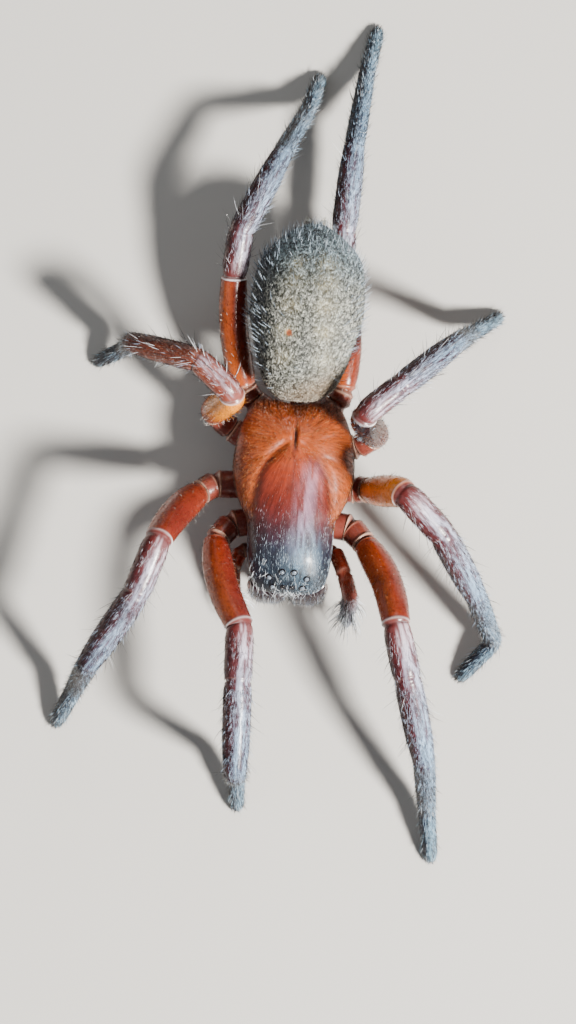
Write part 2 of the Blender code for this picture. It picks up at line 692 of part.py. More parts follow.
def add_carapace_and_eyes(model):
    mesh = lofted_ball("carapace", carapace_section, CARAPACE_REAR, CARAPACE_FRONT,
                       CARAPACE_FACES)
    carapace = model.add("carapace", mesh, "carapace")
    for kind, (x, y, radius) in EYES.items():
        for side, mirror in (("left", 1), ("right", -1)):
            height, outward = carapace_top_at(mirror * x, y)
            centre = Vector((mirror * x, y, height)) - outward * EYE_SINK
            name = f"eye_{kind}_{side}"
            bm = bmesh.new()
            ball(bm, centre, (radius, radius, radius), EYE_FACES)
            model.add(name, finish_mesh(bm, name), "eyes")
            bm = bmesh.new()
            socket = radius + SOCKET_GAP
            ball(bm, centre, (socket, socket, socket), EYE_FACES)
            model.add_cutter(name + "_socket", finish_mesh(bm, name + "_socket"))
    sockets = carapace.modifiers.new("eye sockets", "BOOLEAN")
    sockets.operation = "DIFFERENCE"
    sockets.operand_type = "COLLECTION"
    sockets.collection = model.cutters
    sockets.solver = "EXACT"


def add_trunk(model):
    mesh = lofted_ball("sternum", sternum_section, STERNUM_REAR, STERNUM_FRONT, STERNUM_FACES)
    model.add("sternum", mesh, "sternum")
    waist = [(PEDICEL_FRONT, PEDICEL_RADIUS), (PEDICEL_BACK, PEDICEL_RADIUS)]
    model.add("pedicel", tube_mesh("pedicel", waist, LIMB_SIDE_RESOLUTION), "pedicel")
    mesh = lofted_ball("abdomen", abdomen_section, ABDOMEN_REAR, ABDOMEN_FRONT, ABDOMEN_FACES)
    model.add("abdomen", mesh, "abdomen")


def add_jaws(model):
    fang_line = [(FANG_ROOT, FANG_ROOT_RADIUS), (FANG_BEND, FANG_BEND_RADIUS),
                 (FANG_TIP, FANG_TIP_RADIUS)]
    for side, mirror in (("left", 1), ("right", -1)):
        def section(z, across, forward):
            point = chelicera_section(z, across, forward)
            return Vector((mirror * point.x, point.y, point.z))

        name = f"chelicera_{side}"
        mesh = lofted_ball(name, section, CHELICERA_TOE, CHELICERA_TOP, CHELICERA_FACES)
        model.add(name, mesh, "chelicerae")
        name = f"fang_{side}"
        fang = [((mirror * x, y, z), radius) for (x, y, z), radius in fang_line]
        model.add(name, tube_mesh(name, fang, SMALL_TUBE_SIDE_RESOLUTION), "fangs")


def add_mouthparts(model):
    pieces = []
    bm = bmesh.new()
    ball(bm, LABIUM_CENTRE, LABIUM_HALF_SIZE, MOUTHPART_FACES)
    pieces.append(finish_mesh(bm, "labium"))
    for mirror in (1, -1):
        bm = bmesh.new()
        centre = (mirror * ENDITE_CENTRE[0], ENDITE_CENTRE[1], ENDITE_CENTRE[2])
        turn = Matrix.Rotation(math.radians(mirror * ENDITE_TOE_IN_DEGREES), 4, "Z")
        ball(bm, centre, ENDITE_HALF_SIZE, MOUTHPART_FACES, turn)
        pieces.append(finish_mesh(bm, "endite"))
    mesh = joined("mouthparts", pieces, bpy.context.scene.collection)
    model.add("mouthparts", mesh, "mouthparts")


def add_spinnerets(model):
    bm = bmesh.new()
    ball(bm, SPINNERET_BASE, SPINNERET_BASE_HALF_SIZE, MOUTHPART_FACES)
    pieces = [finish_mesh(bm, "spinneret_base")]
    spread_x, spread_z = SPINNERET_SPREAD
    fan_across, fan_up = SPINNERET_FAN_DEGREES
    for across in (-1, 1):
        for row in (-1, 0, 1):
            offset_x = across * spread_x * (SPINNERET_OUTER_ROWS_SPREAD if row else 1.0)
            root = Vector(SPINNERET_BASE) + Vector((offset_x, 0.0, row * spread_z))
            aim = direction(90 - across * fan_across, SPINNERET_RISE_DEGREES + row * fan_up)
            length = SPINNERET_LENGTH * (1.0 - SPINNERET_ROW_SHORTENING * (row + 1))
            points = [(root + aim * length * share, SPINNERET_RADIUS * size)
                      for share, size in SPINNERET_TAPER]
            pieces.append(tube_mesh("spinneret", points, SMALL_TUBE_SIDE_RESOLUTION))
    mesh = joined("spinnerets", pieces, bpy.context.scene.collection)
    model.add("spinnerets", mesh, "spinnerets")


def main():
    clear_scene()
    model = Model()
    add_carapace_and_eyes(model)
    add_trunk(model)
    add_spinnerets(model)
    add_jaws(model)
    add_mouthparts(model)
    for side in ("left", "right"):
        add_palp(model, side)
    for pose in LEG_POSES:
        add_leg(model, pose)


main()
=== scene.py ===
"""The finished look of the life-size Sinocoelotes spider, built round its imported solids.

Sizes are in millimetres in the spider's body frame: its left along +X, its tail
along +Y, up along +Z and the floor at Z = 0.  FRAME_SHIFT moves that frame to the
model's origin and MM turns millimetres into metres.

Every skin is a grid of rings.  Hairs are closed three-sided blades scattered over
the grids, and take their colour and their lie from the place where they root.
"""
import math

import bpy
import numpy as np
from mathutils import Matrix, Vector


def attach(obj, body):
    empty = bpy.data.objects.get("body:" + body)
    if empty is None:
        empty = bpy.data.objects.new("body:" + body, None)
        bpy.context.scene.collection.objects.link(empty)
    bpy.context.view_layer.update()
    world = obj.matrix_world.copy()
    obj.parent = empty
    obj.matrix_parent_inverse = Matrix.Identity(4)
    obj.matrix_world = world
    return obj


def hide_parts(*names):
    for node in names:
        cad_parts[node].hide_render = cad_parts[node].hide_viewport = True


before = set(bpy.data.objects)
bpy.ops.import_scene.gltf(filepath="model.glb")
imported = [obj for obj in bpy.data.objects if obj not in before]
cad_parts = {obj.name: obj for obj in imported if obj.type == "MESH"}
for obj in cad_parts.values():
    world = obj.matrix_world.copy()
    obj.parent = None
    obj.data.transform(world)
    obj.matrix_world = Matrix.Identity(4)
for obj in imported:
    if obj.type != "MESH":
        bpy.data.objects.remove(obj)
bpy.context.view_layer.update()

MM = 0.001
FRAME_SHIFT = np.array((0.28, -1.22, 0.0))
SEED = 11
# Least heights over the floor: of any point, of a limb's skin and of the root of its hairs
FLOOR_CLEARANCE = 0.002
SKIN_CLEARANCE = 0.004
HAIR_CLEARANCE = 0.01
BODY = "root"
SIDES = (("left", 1), ("right", -1))
FORWARD = np.array((0.0, -1.0, 0.0))
UP = np.array((0.0, 0.0, 1.0))


# Maths shared by every piece

def srgb(red, green, blue):
    """A colour given in 0 to 255 display values, as linear values."""
    values = np.array((red, green, blue), dtype=float) / 255.0
    return np.where(values <= 0.04045, values / 12.92, ((values + 0.055) / 1.055) ** 2.4)


def profile(stations, at):
    """Values of a smooth curve through (place, value) stations, at an array of places."""
    xs = np.array([station[0] for station in stations], dtype=float)
    ys = np.array([station[1] for station in stations], dtype=float)
    at = np.clip(np.asarray(at, dtype=float), xs[0], xs[-1])
    slopes = np.diff(ys) / np.diff(xs)
    tangents = np.zeros(len(xs))
    tangents[0], tangents[-1] = slopes[0], slopes[-1]
    before, after = slopes[:-1], slopes[1:]
    same = before * after > 0.0
    total = np.where(same, before + after, 1.0)
    tangents[1:-1] = np.where(same, 2.0 * before * after / total, 0.0)
    index = np.clip(np.searchsorted(xs, at, side="right") - 1, 0, len(xs) - 2)
    width = xs[index + 1] - xs[index]
    t = (at - xs[index]) / width
    return ((1 + 2 * t) * (1 - t) ** 2 * ys[index] + t * (1 - t) ** 2 * width * tangents[index]
            + t * t * (3 - 2 * t) * ys[index + 1] + t * t * (t - 1) * width * tangents[index + 1])


def bell(distance, half_width):
    """A bell curve: 1 at no distance, falling to near 0 past twice the half width."""
    return np.exp(-(distance / half_width) ** 2)


def smooth(low, high, value):
    """0 below low, 1 above high, and a smooth step between them."""
    t = np.clip((value - low) / (high - low), 0.0, 1.0)
    return t * t * (3.0 - 2.0 * t)


def signed_power(value, power):
    """A power that keeps the sign, to make a round section boxier or rounder."""
    return np.sign(value) * np.abs(value) ** power


def end_rounding(share, bluntness):
    """Size of a section along a body: 0 at both ends, 1 in the middle."""
    share = np.clip(share, 0.0, 1.0)
    return np.maximum(0.0, 1.0 - np.abs(2.0 * share - 1.0) ** bluntness) ** (1.0 / bluntness)


def blend(first, second, amount):
    """Mix of two colours, or arrays of colours, by an array of amounts."""
    amount = np.asarray(amount)[..., None]
    return first * (1.0 - amount) + second * amount


def painted(colour, *layers):
    """A colour under layers of (colour, amount), the lowest first."""
    for over, amount in layers:
        colour = blend(colour, over, amount)
    return colour


def shades(*stations):
    """A colour scale from (place, red, green, blue) stations in display values."""
    return [(place, srgb(*values)) for place, *values in stations]


def colour_along(stations, at):
    """Colours along a scale of (place, colour) stations, at an array of places."""
    xs = [place for place, _ in stations]
    return np.stack([np.interp(at, xs, [colour[channel] for _, colour in stations])
                     for channel in range(3)], axis=-1)


def unit(vectors):
    """Vectors brought to length 1."""
    return vectors / np.maximum(np.linalg.norm(vectors, axis=-1, keepdims=True), 1e-12)


def noise(points, scale, seed):
    """Smooth value noise between 0 and 1, for points in millimetres."""
    points = np.asarray(points) * scale + seed * 17.31
    cell = np.floor(points).astype(np.int64)
    part = points - cell
    part = part * part * (3.0 - 2.0 * part)

    def corner(dx, dy, dz):
        n = (cell[..., 0] + dx) * 73856093 ^ (cell[..., 1] + dy) * 19349663
        n = (n ^ (cell[..., 2] + dz) * 83492791) & 0xFFFFFF
        n = (n * 1103515245 + 12345) & 0x7FFFFFFF
        n = (n ^ (n >> 13)) * 1274126177 & 0x7FFFFFFF
        return (n & 0xFFFF) / 65535.0

    total = 0.0
    for dx in (0, 1):
        for dy in (0, 1):
            for dz in (0, 1):
                weight = (np.where(dx, part[..., 0], 1 - part[..., 0])
                          * np.where(dy, part[..., 1], 1 - part[..., 1])
                          * np.where(dz, part[..., 2], 1 - part[..., 2]))
                total = total + weight * corner(dx, dy, dz)
    return total


# Skins and hairs

def new_object(name, vertices, faces, material, tints):
    """A mesh piece from vertices in millimetres of the body frame."""
    mesh = bpy.data.meshes.new(name)
    world = (np.asarray(vertices, dtype=float) + FRAME_SHIFT) * MM
    faces = [np.asarray(group, dtype=np.int32) for group in faces]
    loops = np.concatenate([group.ravel() for group in faces])
    sizes = np.concatenate([np.full(len(group), group.shape[1]) for group in faces])
    mesh.vertices.add(len(world))
    mesh.vertices.foreach_set("co", world.ravel())
    mesh.loops.add(len(loops))
    mesh.loops.foreach_set("vertex_index", loops)
    mesh.polygons.add(len(sizes))
    mesh.polygons.foreach_set("loop_start", np.concatenate(([0], np.cumsum(sizes)[:-1])))
    colours = np.concatenate([tints, np.ones((len(tints), 1))], axis=1)
    mesh.attributes.new("tint", "FLOAT_COLOR", "POINT").data.foreach_set("color", colours.ravel())
    mesh.update()
    mesh.validate()
    mesh.polygons.foreach_set("use_smooth", np.full(len(mesh.polygons), True))
    mesh.materials.append(material)
    piece = bpy.data.objects.new(name, mesh)
    bpy.context.scene.collection.objects.link(piece)
    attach(piece, BODY)
    return piece


class Skin:
    """A closed grid of rings; its first and last ring are drawn in to a point."""

    def __init__(self, rings, tints):
        self.rings, self.tints = rings, tints
        self.rows, self.around = rings.shape[:2]
        along = np.gradient(rings, axis=0)
        across = (np.roll(rings, -1, axis=1) - np.roll(rings, 1, axis=1)) / 2.0
        normals = np.cross(along, across)
        self.flipped = (normals * (rings - rings.mean(axis=1, keepdims=True))).sum() > 0.0
        self.normals = unit(normals if self.flipped else -normals)
        self.along = unit(along)

    def build(self, name, slot, material, nodes):
        """The skin as a piece that replaces the named nodes, if any."""
        vertices, tints = (np.concatenate([
            grid[1:-1].reshape(-1, 3), [grid[0].mean(axis=0)], [grid[-1].mean(axis=0)]])
            for grid in (self.rings, self.tints))
        rows, around = self.rows - 2, self.around
        ids = np.arange(rows * around).reshape(rows, around)
        right = np.roll(ids, -1, axis=1)
        quads = np.stack([ids[:-1], ids[1:], right[1:], right[:-1]], axis=-1).reshape(-1, 4)
        start = np.full(around, rows * around)
        groups = [quads, np.stack([start, ids[0], right[0]], axis=-1),
                  np.stack([start + 1, right[-1], ids[-1]], axis=-1)]
        if not self.flipped:
            groups = [group[:, ::-1] for group in groups]
        piece = new_object(name, vertices, groups, material, tints)
        if nodes:
            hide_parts(*nodes)

    def scatter(self, count, density, rng):
        """Random places on the skin, thicker where the density array is higher."""
        p = self.rings
        right = np.roll(p, -1, axis=1)
        area = np.linalg.norm(np.cross(p[1:] - p[:-1], right[:-1] - p[:-1]), axis=-1)
        weight = (area * np.broadcast_to(density, p.shape[:2])[:-1]).ravel()
        cell = rng.choice(weight.size, size=count, p=weight / weight.sum())
        i, j = cell // self.around, cell % self.around
        a, b = rng.random((2, count))
        k = (j + 1) % self.around

        def mixed(grid):
            shape = (-1,) + (1,) * (grid.ndim - 2)
            u, v = a.reshape(shape), b.reshape(shape)
            return ((grid[i, j] * (1 - u) + grid[i + 1, j] * u) * (1 - v)
                    + (grid[i, k] * (1 - u) + grid[i + 1, k] * u) * v)

        uv = np.stack([(j + b) / self.around, (i + a) / (self.rows - 1)], axis=-1)
        return {"root": mixed(p), "normal": unit(mixed(self.normals)),
                "along": unit(mixed(self.along)), "tint": mixed(self.tints), "uv": uv, "row": i + a}


def ball_grid(section, start, end, along, around):
    """Rings of a section function from start to end, closer together near the ends."""
    share = (1.0 - np.cos(np.linspace(0.0, math.pi, along))) / 2.0
    angle = np.linspace(0.0, 2.0 * math.pi, around, endpoint=False)
    place, turn = np.meshgrid(start + (end - start) * share, angle, indexing="ij")
    return section(place, np.cos(turn), np.sin(turn))


# Half the size of a hair's patch in its UV map, and how deep a hair roots
HAIR_PATCH = 0.0015
HAIR_SINK = 0.02

# How many patches of light or dark hairs lie along one millimetre, on the limbs and in the fur
CLUMP = 16.0
FUR_CLUMP = 22.0


def hair_mesh(name, spots, lean, rise, tip_rise, length, radius, tints, material, joints):
    """One coat piece: a blade at each spot that leans one way and bends towards its tip."""
    count = len(spots["root"])
    normal = spots["normal"]
    lean = unit(lean - normal * (lean * normal).sum(axis=-1, keepdims=True))
    side = np.cross(normal, lean)

    def heading(angle):
        angle = np.broadcast_to(angle, count)[:, None]
        return lean * np.cos(angle) + normal * np.sin(angle)

    base, tip = heading(rise), heading(tip_rise)
    length = length[:, None]
    radius = np.broadcast_to(radius, count)[:, None]
    rings = []
    for share in np.arange(joints) / joints:
        centre = spots["root"] - base * HAIR_SINK
        centre = centre + length * (base * share + (tip - base) * share ** 2 / 2)
        up = np.cross(unit(base + (tip - base) * share), side)
        wide = radius * (1.0 - share) ** 0.55
        for corner in range(3):
            turn = 2.0 * math.pi * corner / 3.0 + math.pi / 2
            rings.append(centre + wide * (side * math.cos(turn) + up * math.sin(turn)))
    end = spots["root"] + length * (base + (tip - base) / 2)
    per_hair = 3 * joints + 1
    vertices = np.stack(rings + [end], axis=1).reshape(-1, 3)
    vertices[:, 2] = np.maximum(vertices[:, 2], FLOOR_CLEARANCE)
    faces = [(0, 2, 1)]
    for a in range(3 * (joints - 1)):
        b = a - 2 if a % 3 == 2 else a + 1
        faces += [(a, b, b + 3), (a, b + 3, a + 3)]
    last = 3 * (joints - 1)
    faces += [(last + corner, last + (corner + 1) % 3, last + 3) for corner in range(3)]
    triangles = (np.array(faces) + per_hair * np.arange(count)[:, None, None]).reshape(-1, 3)
    piece = new_object(name, vertices, [triangles], material,
                       np.repeat(tints, per_hair, axis=0))
    local = [(corner - 1, 2.0 * ring / joints - 1.0) for ring in range(joints)
             for corner in range(3)] + [(0.0, 1.0)]
    uv = spots["uv"][:, None] * 0.99 + 0.005 + HAIR_PATCH * np.array(local)
    layer = piece.data.uv_layers.new(name="OFBake")
    layer.data.foreach_set("uv", uv.reshape(-1, 2)[triangles.ravel()].ravel())


def coat(name, skin, count, density, tint, lean, rise, tip_rise, length, radius, slot, material,
         rng, joints=2):
    """Hairs over a skin.  Rise and length are ranges, radius may be one, and tint and lean may be
    functions of the places where the hairs root."""
    spots = skin.scatter(count, density, rng)
    tints = tint(spots) if callable(tint) else np.broadcast_to(tint, (count, 3))
    lean = lean(spots) if callable(lean) else np.broadcast_to(lean, (count, 3))
    heights, lengths = rng.uniform(*rise, count), rng.uniform(*length, count)
    if isinstance(radius, tuple):
        radius = rng.uniform(*radius, count)
    hair_mesh(name, spots, lean, heights, tip_rise, lengths, radius, tints, material, joints)


def either(dark, light, light_share, rng):
    """Chooser of hair colours: each hair takes one of two."""
    return lambda spots: blend(dark, light, rng.random(len(spots["root"])) < light_share)


# Materials

class Shader:
    """A Principled material and short ways to add nodes to it."""

    def __init__(self, name, roughness, **settings):
        self.material = bpy.data.materials.new(name)
        self.material.use_nodes = True
        self.nodes = self.material.node_tree.nodes
        self.links = self.material.node_tree.links
        self.bsdf = self.nodes["Principled BSDF"]
        self.bsdf.inputs["Roughness"].default_value = roughness
        for key, value in settings.items():
            self.bsdf.inputs[key.replace("_", " ")].default_value = value
        self.place = self.nodes.new("ShaderNodeTexCoord").outputs["Object"]

    def node(self, kind, values=(), **properties):
        """A node with its properties set and its inputs set or linked by name or number."""
        made = self.nodes.new(kind)
        for key, value in properties.items():
            setattr(made, key, value)
        for key, value in dict(values).items():
            if isinstance(value, bpy.types.NodeSocket):
                self.links.new(value, made.inputs[key])
            else:
                made.inputs[key].default_value = value
        return made

    def math(self, operation, *values):
        return self.node("ShaderNodeMath", enumerate(values), operation=operation).outputs[0]

    def noise(self, scale_mm, detail, stretch=None):
        """Noise whose features are about scale_mm across."""
        vector = self.place
        if stretch:
            vector = self.node("ShaderNodeMapping", {"Vector": vector, "Scale": stretch}).outputs[0]
        values = {"Vector": vector, "Scale": 1.0 / (scale_mm * MM), "Detail": detail}
        return self.node("ShaderNodeTexNoise", values).outputs["Fac"]

    def ramp(self, value, low, high, dark, light):
        values = {"Value": value, "From Min": low, "From Max": high, "To Min": dark, "To Max": light}
        return self.node("ShaderNodeMapRange", values, clamp=True).outputs[0]

    def uneven(self, scale_mm, detail, dark, light):
        """Noise that runs from one value to another."""
        return self.ramp(self.noise(scale_mm, detail), 0.3, 0.7, dark, light)

    def tint(self):
        return self.node("ShaderNodeAttribute", attribute_name="tint").outputs["Color"]

    def shade(self, colour, *factors):
        """The colour times each grey factor."""
        for factor in factors:
            grey = self.node("ShaderNodeCombineColor", dict.fromkeys(("Red", "Green", "Blue"), factor))
            colour = self.node("ShaderNodeMix", {0: 1.0, 6: colour, 7: grey.outputs[0]},
                               data_type="RGBA", blend_type="MULTIPLY").outputs[2]
        return colour

    def bump(self, height, distance_mm, strength, below=None):
        values = {"Height": height, "Distance": distance_mm * MM, "Strength": strength}
        if below is not None:
            values["Normal"] = below
        return self.node("ShaderNodeBump", values).outputs["Normal"]

    def use(self, colour, roughness, normal=None):
        for key, socket in (("Base Color", colour), ("Roughness", roughness), ("Normal", normal)):
            if socket is not None:
                self.links.new(socket, self.bsdf.inputs[key])
        return self.material


def carapace_material():
    """Smooth shell with fine streaks that run out from the fovea."""
    s = Shader("carapace_shell", 0.40, IOR=1.45, Coat_Weight=0.20, Coat_Roughness=0.22)
    centre = (np.array((0.0, FOVEA_CENTRE, 0.0)) + FRAME_SHIFT) * MM
    offset = s.node("ShaderNodeVectorMath", {0: s.place, 1: tuple(centre)}, operation="SUBTRACT")
    x, y = s.node("ShaderNodeSeparateXYZ", {0: offset.outputs[0]}).outputs[:2]
    flat = s.math("SQRT", s.math("ADD", s.math("MULTIPLY", x, x), s.math("MULTIPLY", y, y)))
    streak_place = s.node("ShaderNodeCombineXYZ", {
        "X": s.math("MULTIPLY", s.math("ARCTAN2", x, y), 14.0),
        "Y": s.math("MULTIPLY", flat, 900.0)}).outputs[0]
    values = {"Vector": streak_place, "Scale": 1.6, "Detail": 4.0, "Roughness": 0.65}
    streaks = s.node("ShaderNodeTexNoise", values).outputs["Fac"]
    reach = s.ramp(flat, 0.0002, 0.0009, 0.0, 1.0)
    dark = s.ramp(streaks, 0.38, 0.62, 0.58, 1.06)
    dark = s.math("SUBTRACT", 1.0, s.math("MULTIPLY", s.math("SUBTRACT", 1.0, dark), reach))
    colour = s.shade(s.tint(), dark, s.uneven(0.55, 4.0, 0.84, 1.12))
    low = s.bump(s.math("MULTIPLY", streaks, reach), 0.012, 0.6)
    fine = s.bump(s.noise(0.035, 2.0), 0.004, 0.6, low)
    return s.use(colour, s.uneven(0.12, 3.0, 0.34, 0.54), fine)


def shell_material(name, rough_low, rough_high, bump_mm, grain_mm, coat_weight):
    """Cuticle: the painted tint with soft mottling, fine grain and uneven gloss."""
    s = Shader(name, 0.4, IOR=1.40, Coat_Weight=coat_weight, Coat_Roughness=0.2, Coat_IOR=1.4)
    flecks = s.ramp(s.noise(grain_mm * 1.7, 2.0), 0.62, 0.74, 1.0, 0.72)
    colour = s.shade(s.tint(), s.uneven(0.5, 4.0, 0.80, 1.16), flecks)
    wide = s.bump(s.noise(grain_mm * 5.0, 3.0), bump_mm * 3.0, 0.5)
    fine = s.bump(s.noise(grain_mm, 2.0), bump_mm, 0.7, wide)
    return s.use(colour, s.uneven(0.18, 3.0, rough_low, rough_high), fine)


def abdomen_material():
    """Soft wrinkled skin under the coat."""
    s = Shader("abdomen_skin", 0.62, Sheen_Weight=0.15, Sheen_Roughness=0.5)
    pores = s.node("ShaderNodeTexVoronoi", {"Vector": s.place, "Scale": 1.0 / (0.09 * MM)})
    pores = pores.outputs["Distance"]
    colour = s.shade(s.tint(), s.uneven(0.22, 5.0, 0.62, 1.34), s.ramp(pores, 0.0, 0.35, 0.55, 1.0))
    folds = s.bump(s.noise(0.16, 4.0, stretch=(0.45, 1.6, 1.0)), 0.03, 0.7)
    return s.use(colour, s.uneven(0.1, 2.0, 0.5, 0.75), s.bump(pores, 0.02, 0.6, folds))


def hair_material(name, roughness, specular):
    """Hair: the tint at its root, a little lighter and darker from hair to hair."""
    s = Shader(name, roughness, Specular_IOR_Level=specular)
    return s.use(s.shade(s.tint(), s.uneven(0.10, 2.0, 0.72, 1.28)),
                 s.uneven(0.05, 1.0, roughness - 0.08, roughness + 0.1))


def eye_material():
    """Dark clear lens over a black cup, with a faint amber depth."""
    s = Shader("eye_lens", 0.04, Coat_Weight=0.4, Coat_Roughness=0.02, IOR=1.45)
    deep = s.ramp(s.noise(0.05, 2.0), 0.35, 0.65, 0.6, 1.5)
    fine = s.bump(s.noise(0.03, 1.0), 0.0006, 0.2)
    return s.use(s.shade(s.tint(), deep), s.uneven(0.08, 1.0, 0.03, 0.07), fine)


# Carapace

CARAPACE_REAR = 2.50
CARAPACE_FRONT = -4.25
CARAPACE_HALF_WIDTH = [
    (-4.25, 1.50), (-2.40, 1.51), (-1.75, 1.55), (-1.30, 1.76), (-0.80, 1.98),
    (0.10, 2.14), (1.15, 2.02), (2.00, 1.80), (2.50, 1.65),
]
CARAPACE_TOP = [
    (-4.25, 3.98), (-3.95, 4.22), (-3.50, 4.43), (-2.80, 4.56), (-1.80, 4.50),
    (-0.60, 4.28), (0.60, 4.12), (1.30, 3.98), (1.90, 3.70), (2.50, 3.30),
]
CARAPACE_RIM_HEIGHT = [(-4.25, 3.58), (-3.20, 3.28), (-1.80, 3.05), (0.50, 2.95), (2.50, 3.00)]
CARAPACE_UNDERSIDE = [(-4.25, 3.32), (-3.20, 2.95), (-1.80, 2.75), (0.50, 2.75), (2.50, 2.78)]
CARAPACE_REAR_BLUNTNESS = 8.0
CARAPACE_FRONT_BLUNTNESS = 5.0
HEAD_BOXINESS = [(-4.25, 0.82), (-1.60, 0.86), (-0.60, 1.00), (2.50, 1.00)]
REAR_NOTCH_DEPTH = 0.14
REAR_NOTCH_HALF_WIDTH = 0.55
FOVEA_CENTRE = 1.20
FOVEA_DEPTH = 0.20
FOVEA_HALF_LENGTH = 0.34
FOVEA_HALF_WIDTH = 0.07
HEAD_EDGE = [(-1.60, 1.47), (-0.50, 1.30), (0.20, 1.03), (0.66, 0.68), (1.00, 0.34), (1.35, 0.04)]
HEAD_GROOVE_DEPTH = 0.12
HEAD_GROOVE_HALF_WIDTH = 0.18

HEAD_COLOURS = shades(
    (-4.3, 7, 11, 19), (-3.4, 9, 15, 27), (-2.7, 24, 20, 36), (-2.0, 60, 24, 32),
    (-1.1, 102, 32, 22), (0.0, 132, 46, 20), (1.0, 152, 64, 20))
THORAX_COLOURS = shades((-1.8, 154, 72, 26), (0.2, 152, 68, 20), (2.5, 150, 62, 16))
# Colours of the painted sheen on the head
PAINTED_SHEEN_BLUE = srgb(122, 160, 188)
PAINTED_SHEEN_LILAC = srgb(190, 156, 182)
RIM_COLOUR = srgb(78, 32, 16)
FOVEA_COLOUR = srgb(40, 10, 10)
EDGE_COLOUR = srgb(92, 30, 16)
REAR_COLOUR = srgb(136, 54, 18)
FURROW_ANGLES = (0.7, 1.3, 1.9)
FURROW_DEPTH = 0.035


def head_edge_distance(x, y):
    """Distance in plan outwards from the furrow between the head and the chest."""
    step = 0.05
    slope = (profile(HEAD_EDGE, y + step) - profile(HEAD_EDGE, y - step)) / (2 * step)
    return (np.abs(x) - profile(HEAD_EDGE, y)) / np.hypot(1.0, slope)


def carapace_section(y, side, up):
    """Points of the carapace at places along it, for cosine and sine round each section."""
    share = (CARAPACE_REAR - y) / (CARAPACE_REAR - CARAPACE_FRONT)
    bluntness = np.where(share < 0.5, CARAPACE_REAR_BLUNTNESS, CARAPACE_FRONT_BLUNTNESS)
    scale = end_rounding(share, bluntness)
    rim = profile(CARAPACE_RIM_HEIGHT, y)
    boxiness = profile(HEAD_BOXINESS, y)
    x = profile(CARAPACE_HALF_WIDTH, y) * scale * signed_power(side, boxiness)
    above = np.maximum(up, 0.0)
    below = np.maximum(-up, 0.0)
    z = rim + (profile(CARAPACE_TOP, y) - rim) * scale * above ** boxiness
    z -= (rim - profile(CARAPACE_UNDERSIDE, y)) * scale * below ** 0.5
    fovea = bell(x, FOVEA_HALF_WIDTH) * bell(y - FOVEA_CENTRE, FOVEA_HALF_LENGTH)
    groove = bell(head_edge_distance(x, y), HEAD_GROOVE_HALF_WIDTH)
    groove = groove * smooth(-1.75, -1.25, y) * smooth(1.30, 0.90, y)
    furrows = sum(bell(np.arctan2(np.abs(x), y - 0.9) - angle, 0.08) for angle in FURROW_ANGLES)
    furrows = furrows * smooth(0.7, 1.2, np.hypot(x, y - 0.9)) * smooth(2.1, 1.6, np.abs(x))
    z -= above * (FOVEA_DEPTH * fovea + HEAD_GROOVE_DEPTH * groove + FURROW_DEPTH * furrows)
    notch = REAR_NOTCH_DEPTH * bell(x, REAR_NOTCH_HALF_WIDTH) * (np.maximum(y, 0) / CARAPACE_REAR) ** 6
    return np.stack([x, y - notch, z], axis=-1)


def carapace_tints(points):
    """Blue-black head, orange chest, the darker furrow between them and a painted sheen of lilac and
    blue highlights on the head.
    """
    x, y, z = np.moveaxis(points, -1, 0)
    edge = head_edge_distance(x, y) + 0.12 * (noise(points, 1.6, 3) - 0.5)
    inside = np.maximum(smooth(0.12, -0.22, edge) * smooth(1.5, 0.8, y), smooth(-1.45, -1.95, y))
    crescent = bell(edge + 0.10, 0.11) * smooth(-1.5, -0.9, y) * smooth(0.8, 0.1, y)
    streaks = bell(np.abs(x) - 0.55 + 0.22 * y, 0.10) * bell(y + 0.75, 0.55)
    rim = smooth(0.92, 1.0, np.abs(x) / profile(CARAPACE_HALF_WIDTH, y))
    rim = rim * (z < profile(CARAPACE_RIM_HEIGHT, y) + 0.30)
    middle = bell(x, 0.07) * smooth(-2.6, 0.4, y) * smooth(1.75, 1.45, y)
    fibres = 0.15 + 0.85 * smooth(0.30, 0.70, noise(points * (11.0, 1.6, 1.0), 1.0, 9))
    # Painted highlights: a lilac streak beside the midline and a blue patch at the front of the head,
    # strongest on the side towards the key light.
    lilac = bell(x - 0.42 - 0.10 * (y + 2.0), 0.34) * smooth(0.9, -0.6, y) * smooth(-3.4, -2.2, y)
    blue = bell(x - 0.52, 0.42) * bell(y + 2.75, 0.80) + 0.10 * bell(x + 0.5, 0.6) * bell(y + 3.2, 0.6)
    slit = bell(x, 0.05) * bell(y - FOVEA_CENTRE, 0.36)
    return painted(
        colour_along(THORAX_COLOURS, y), (colour_along(HEAD_COLOURS, y), inside),
        (EDGE_COLOUR, 0.75 * crescent),
        (EDGE_COLOUR, 0.5 * streaks * smooth(0.30, 0.60, noise(points, 5.0, 5))),
        (REAR_COLOUR, 0.45 * bell(np.hypot(x, y - 2.1), 0.75)), (RIM_COLOUR, 0.8 * rim * (y > -1.9)),
        (EDGE_COLOUR, 0.55 * middle), (PAINTED_SHEEN_LILAC, 0.44 * lilac * fibres),
        (PAINTED_SHEEN_BLUE, 0.76 * blue * fibres), (FOVEA_COLOUR, np.clip(1.3 * slit, 0, 1)))


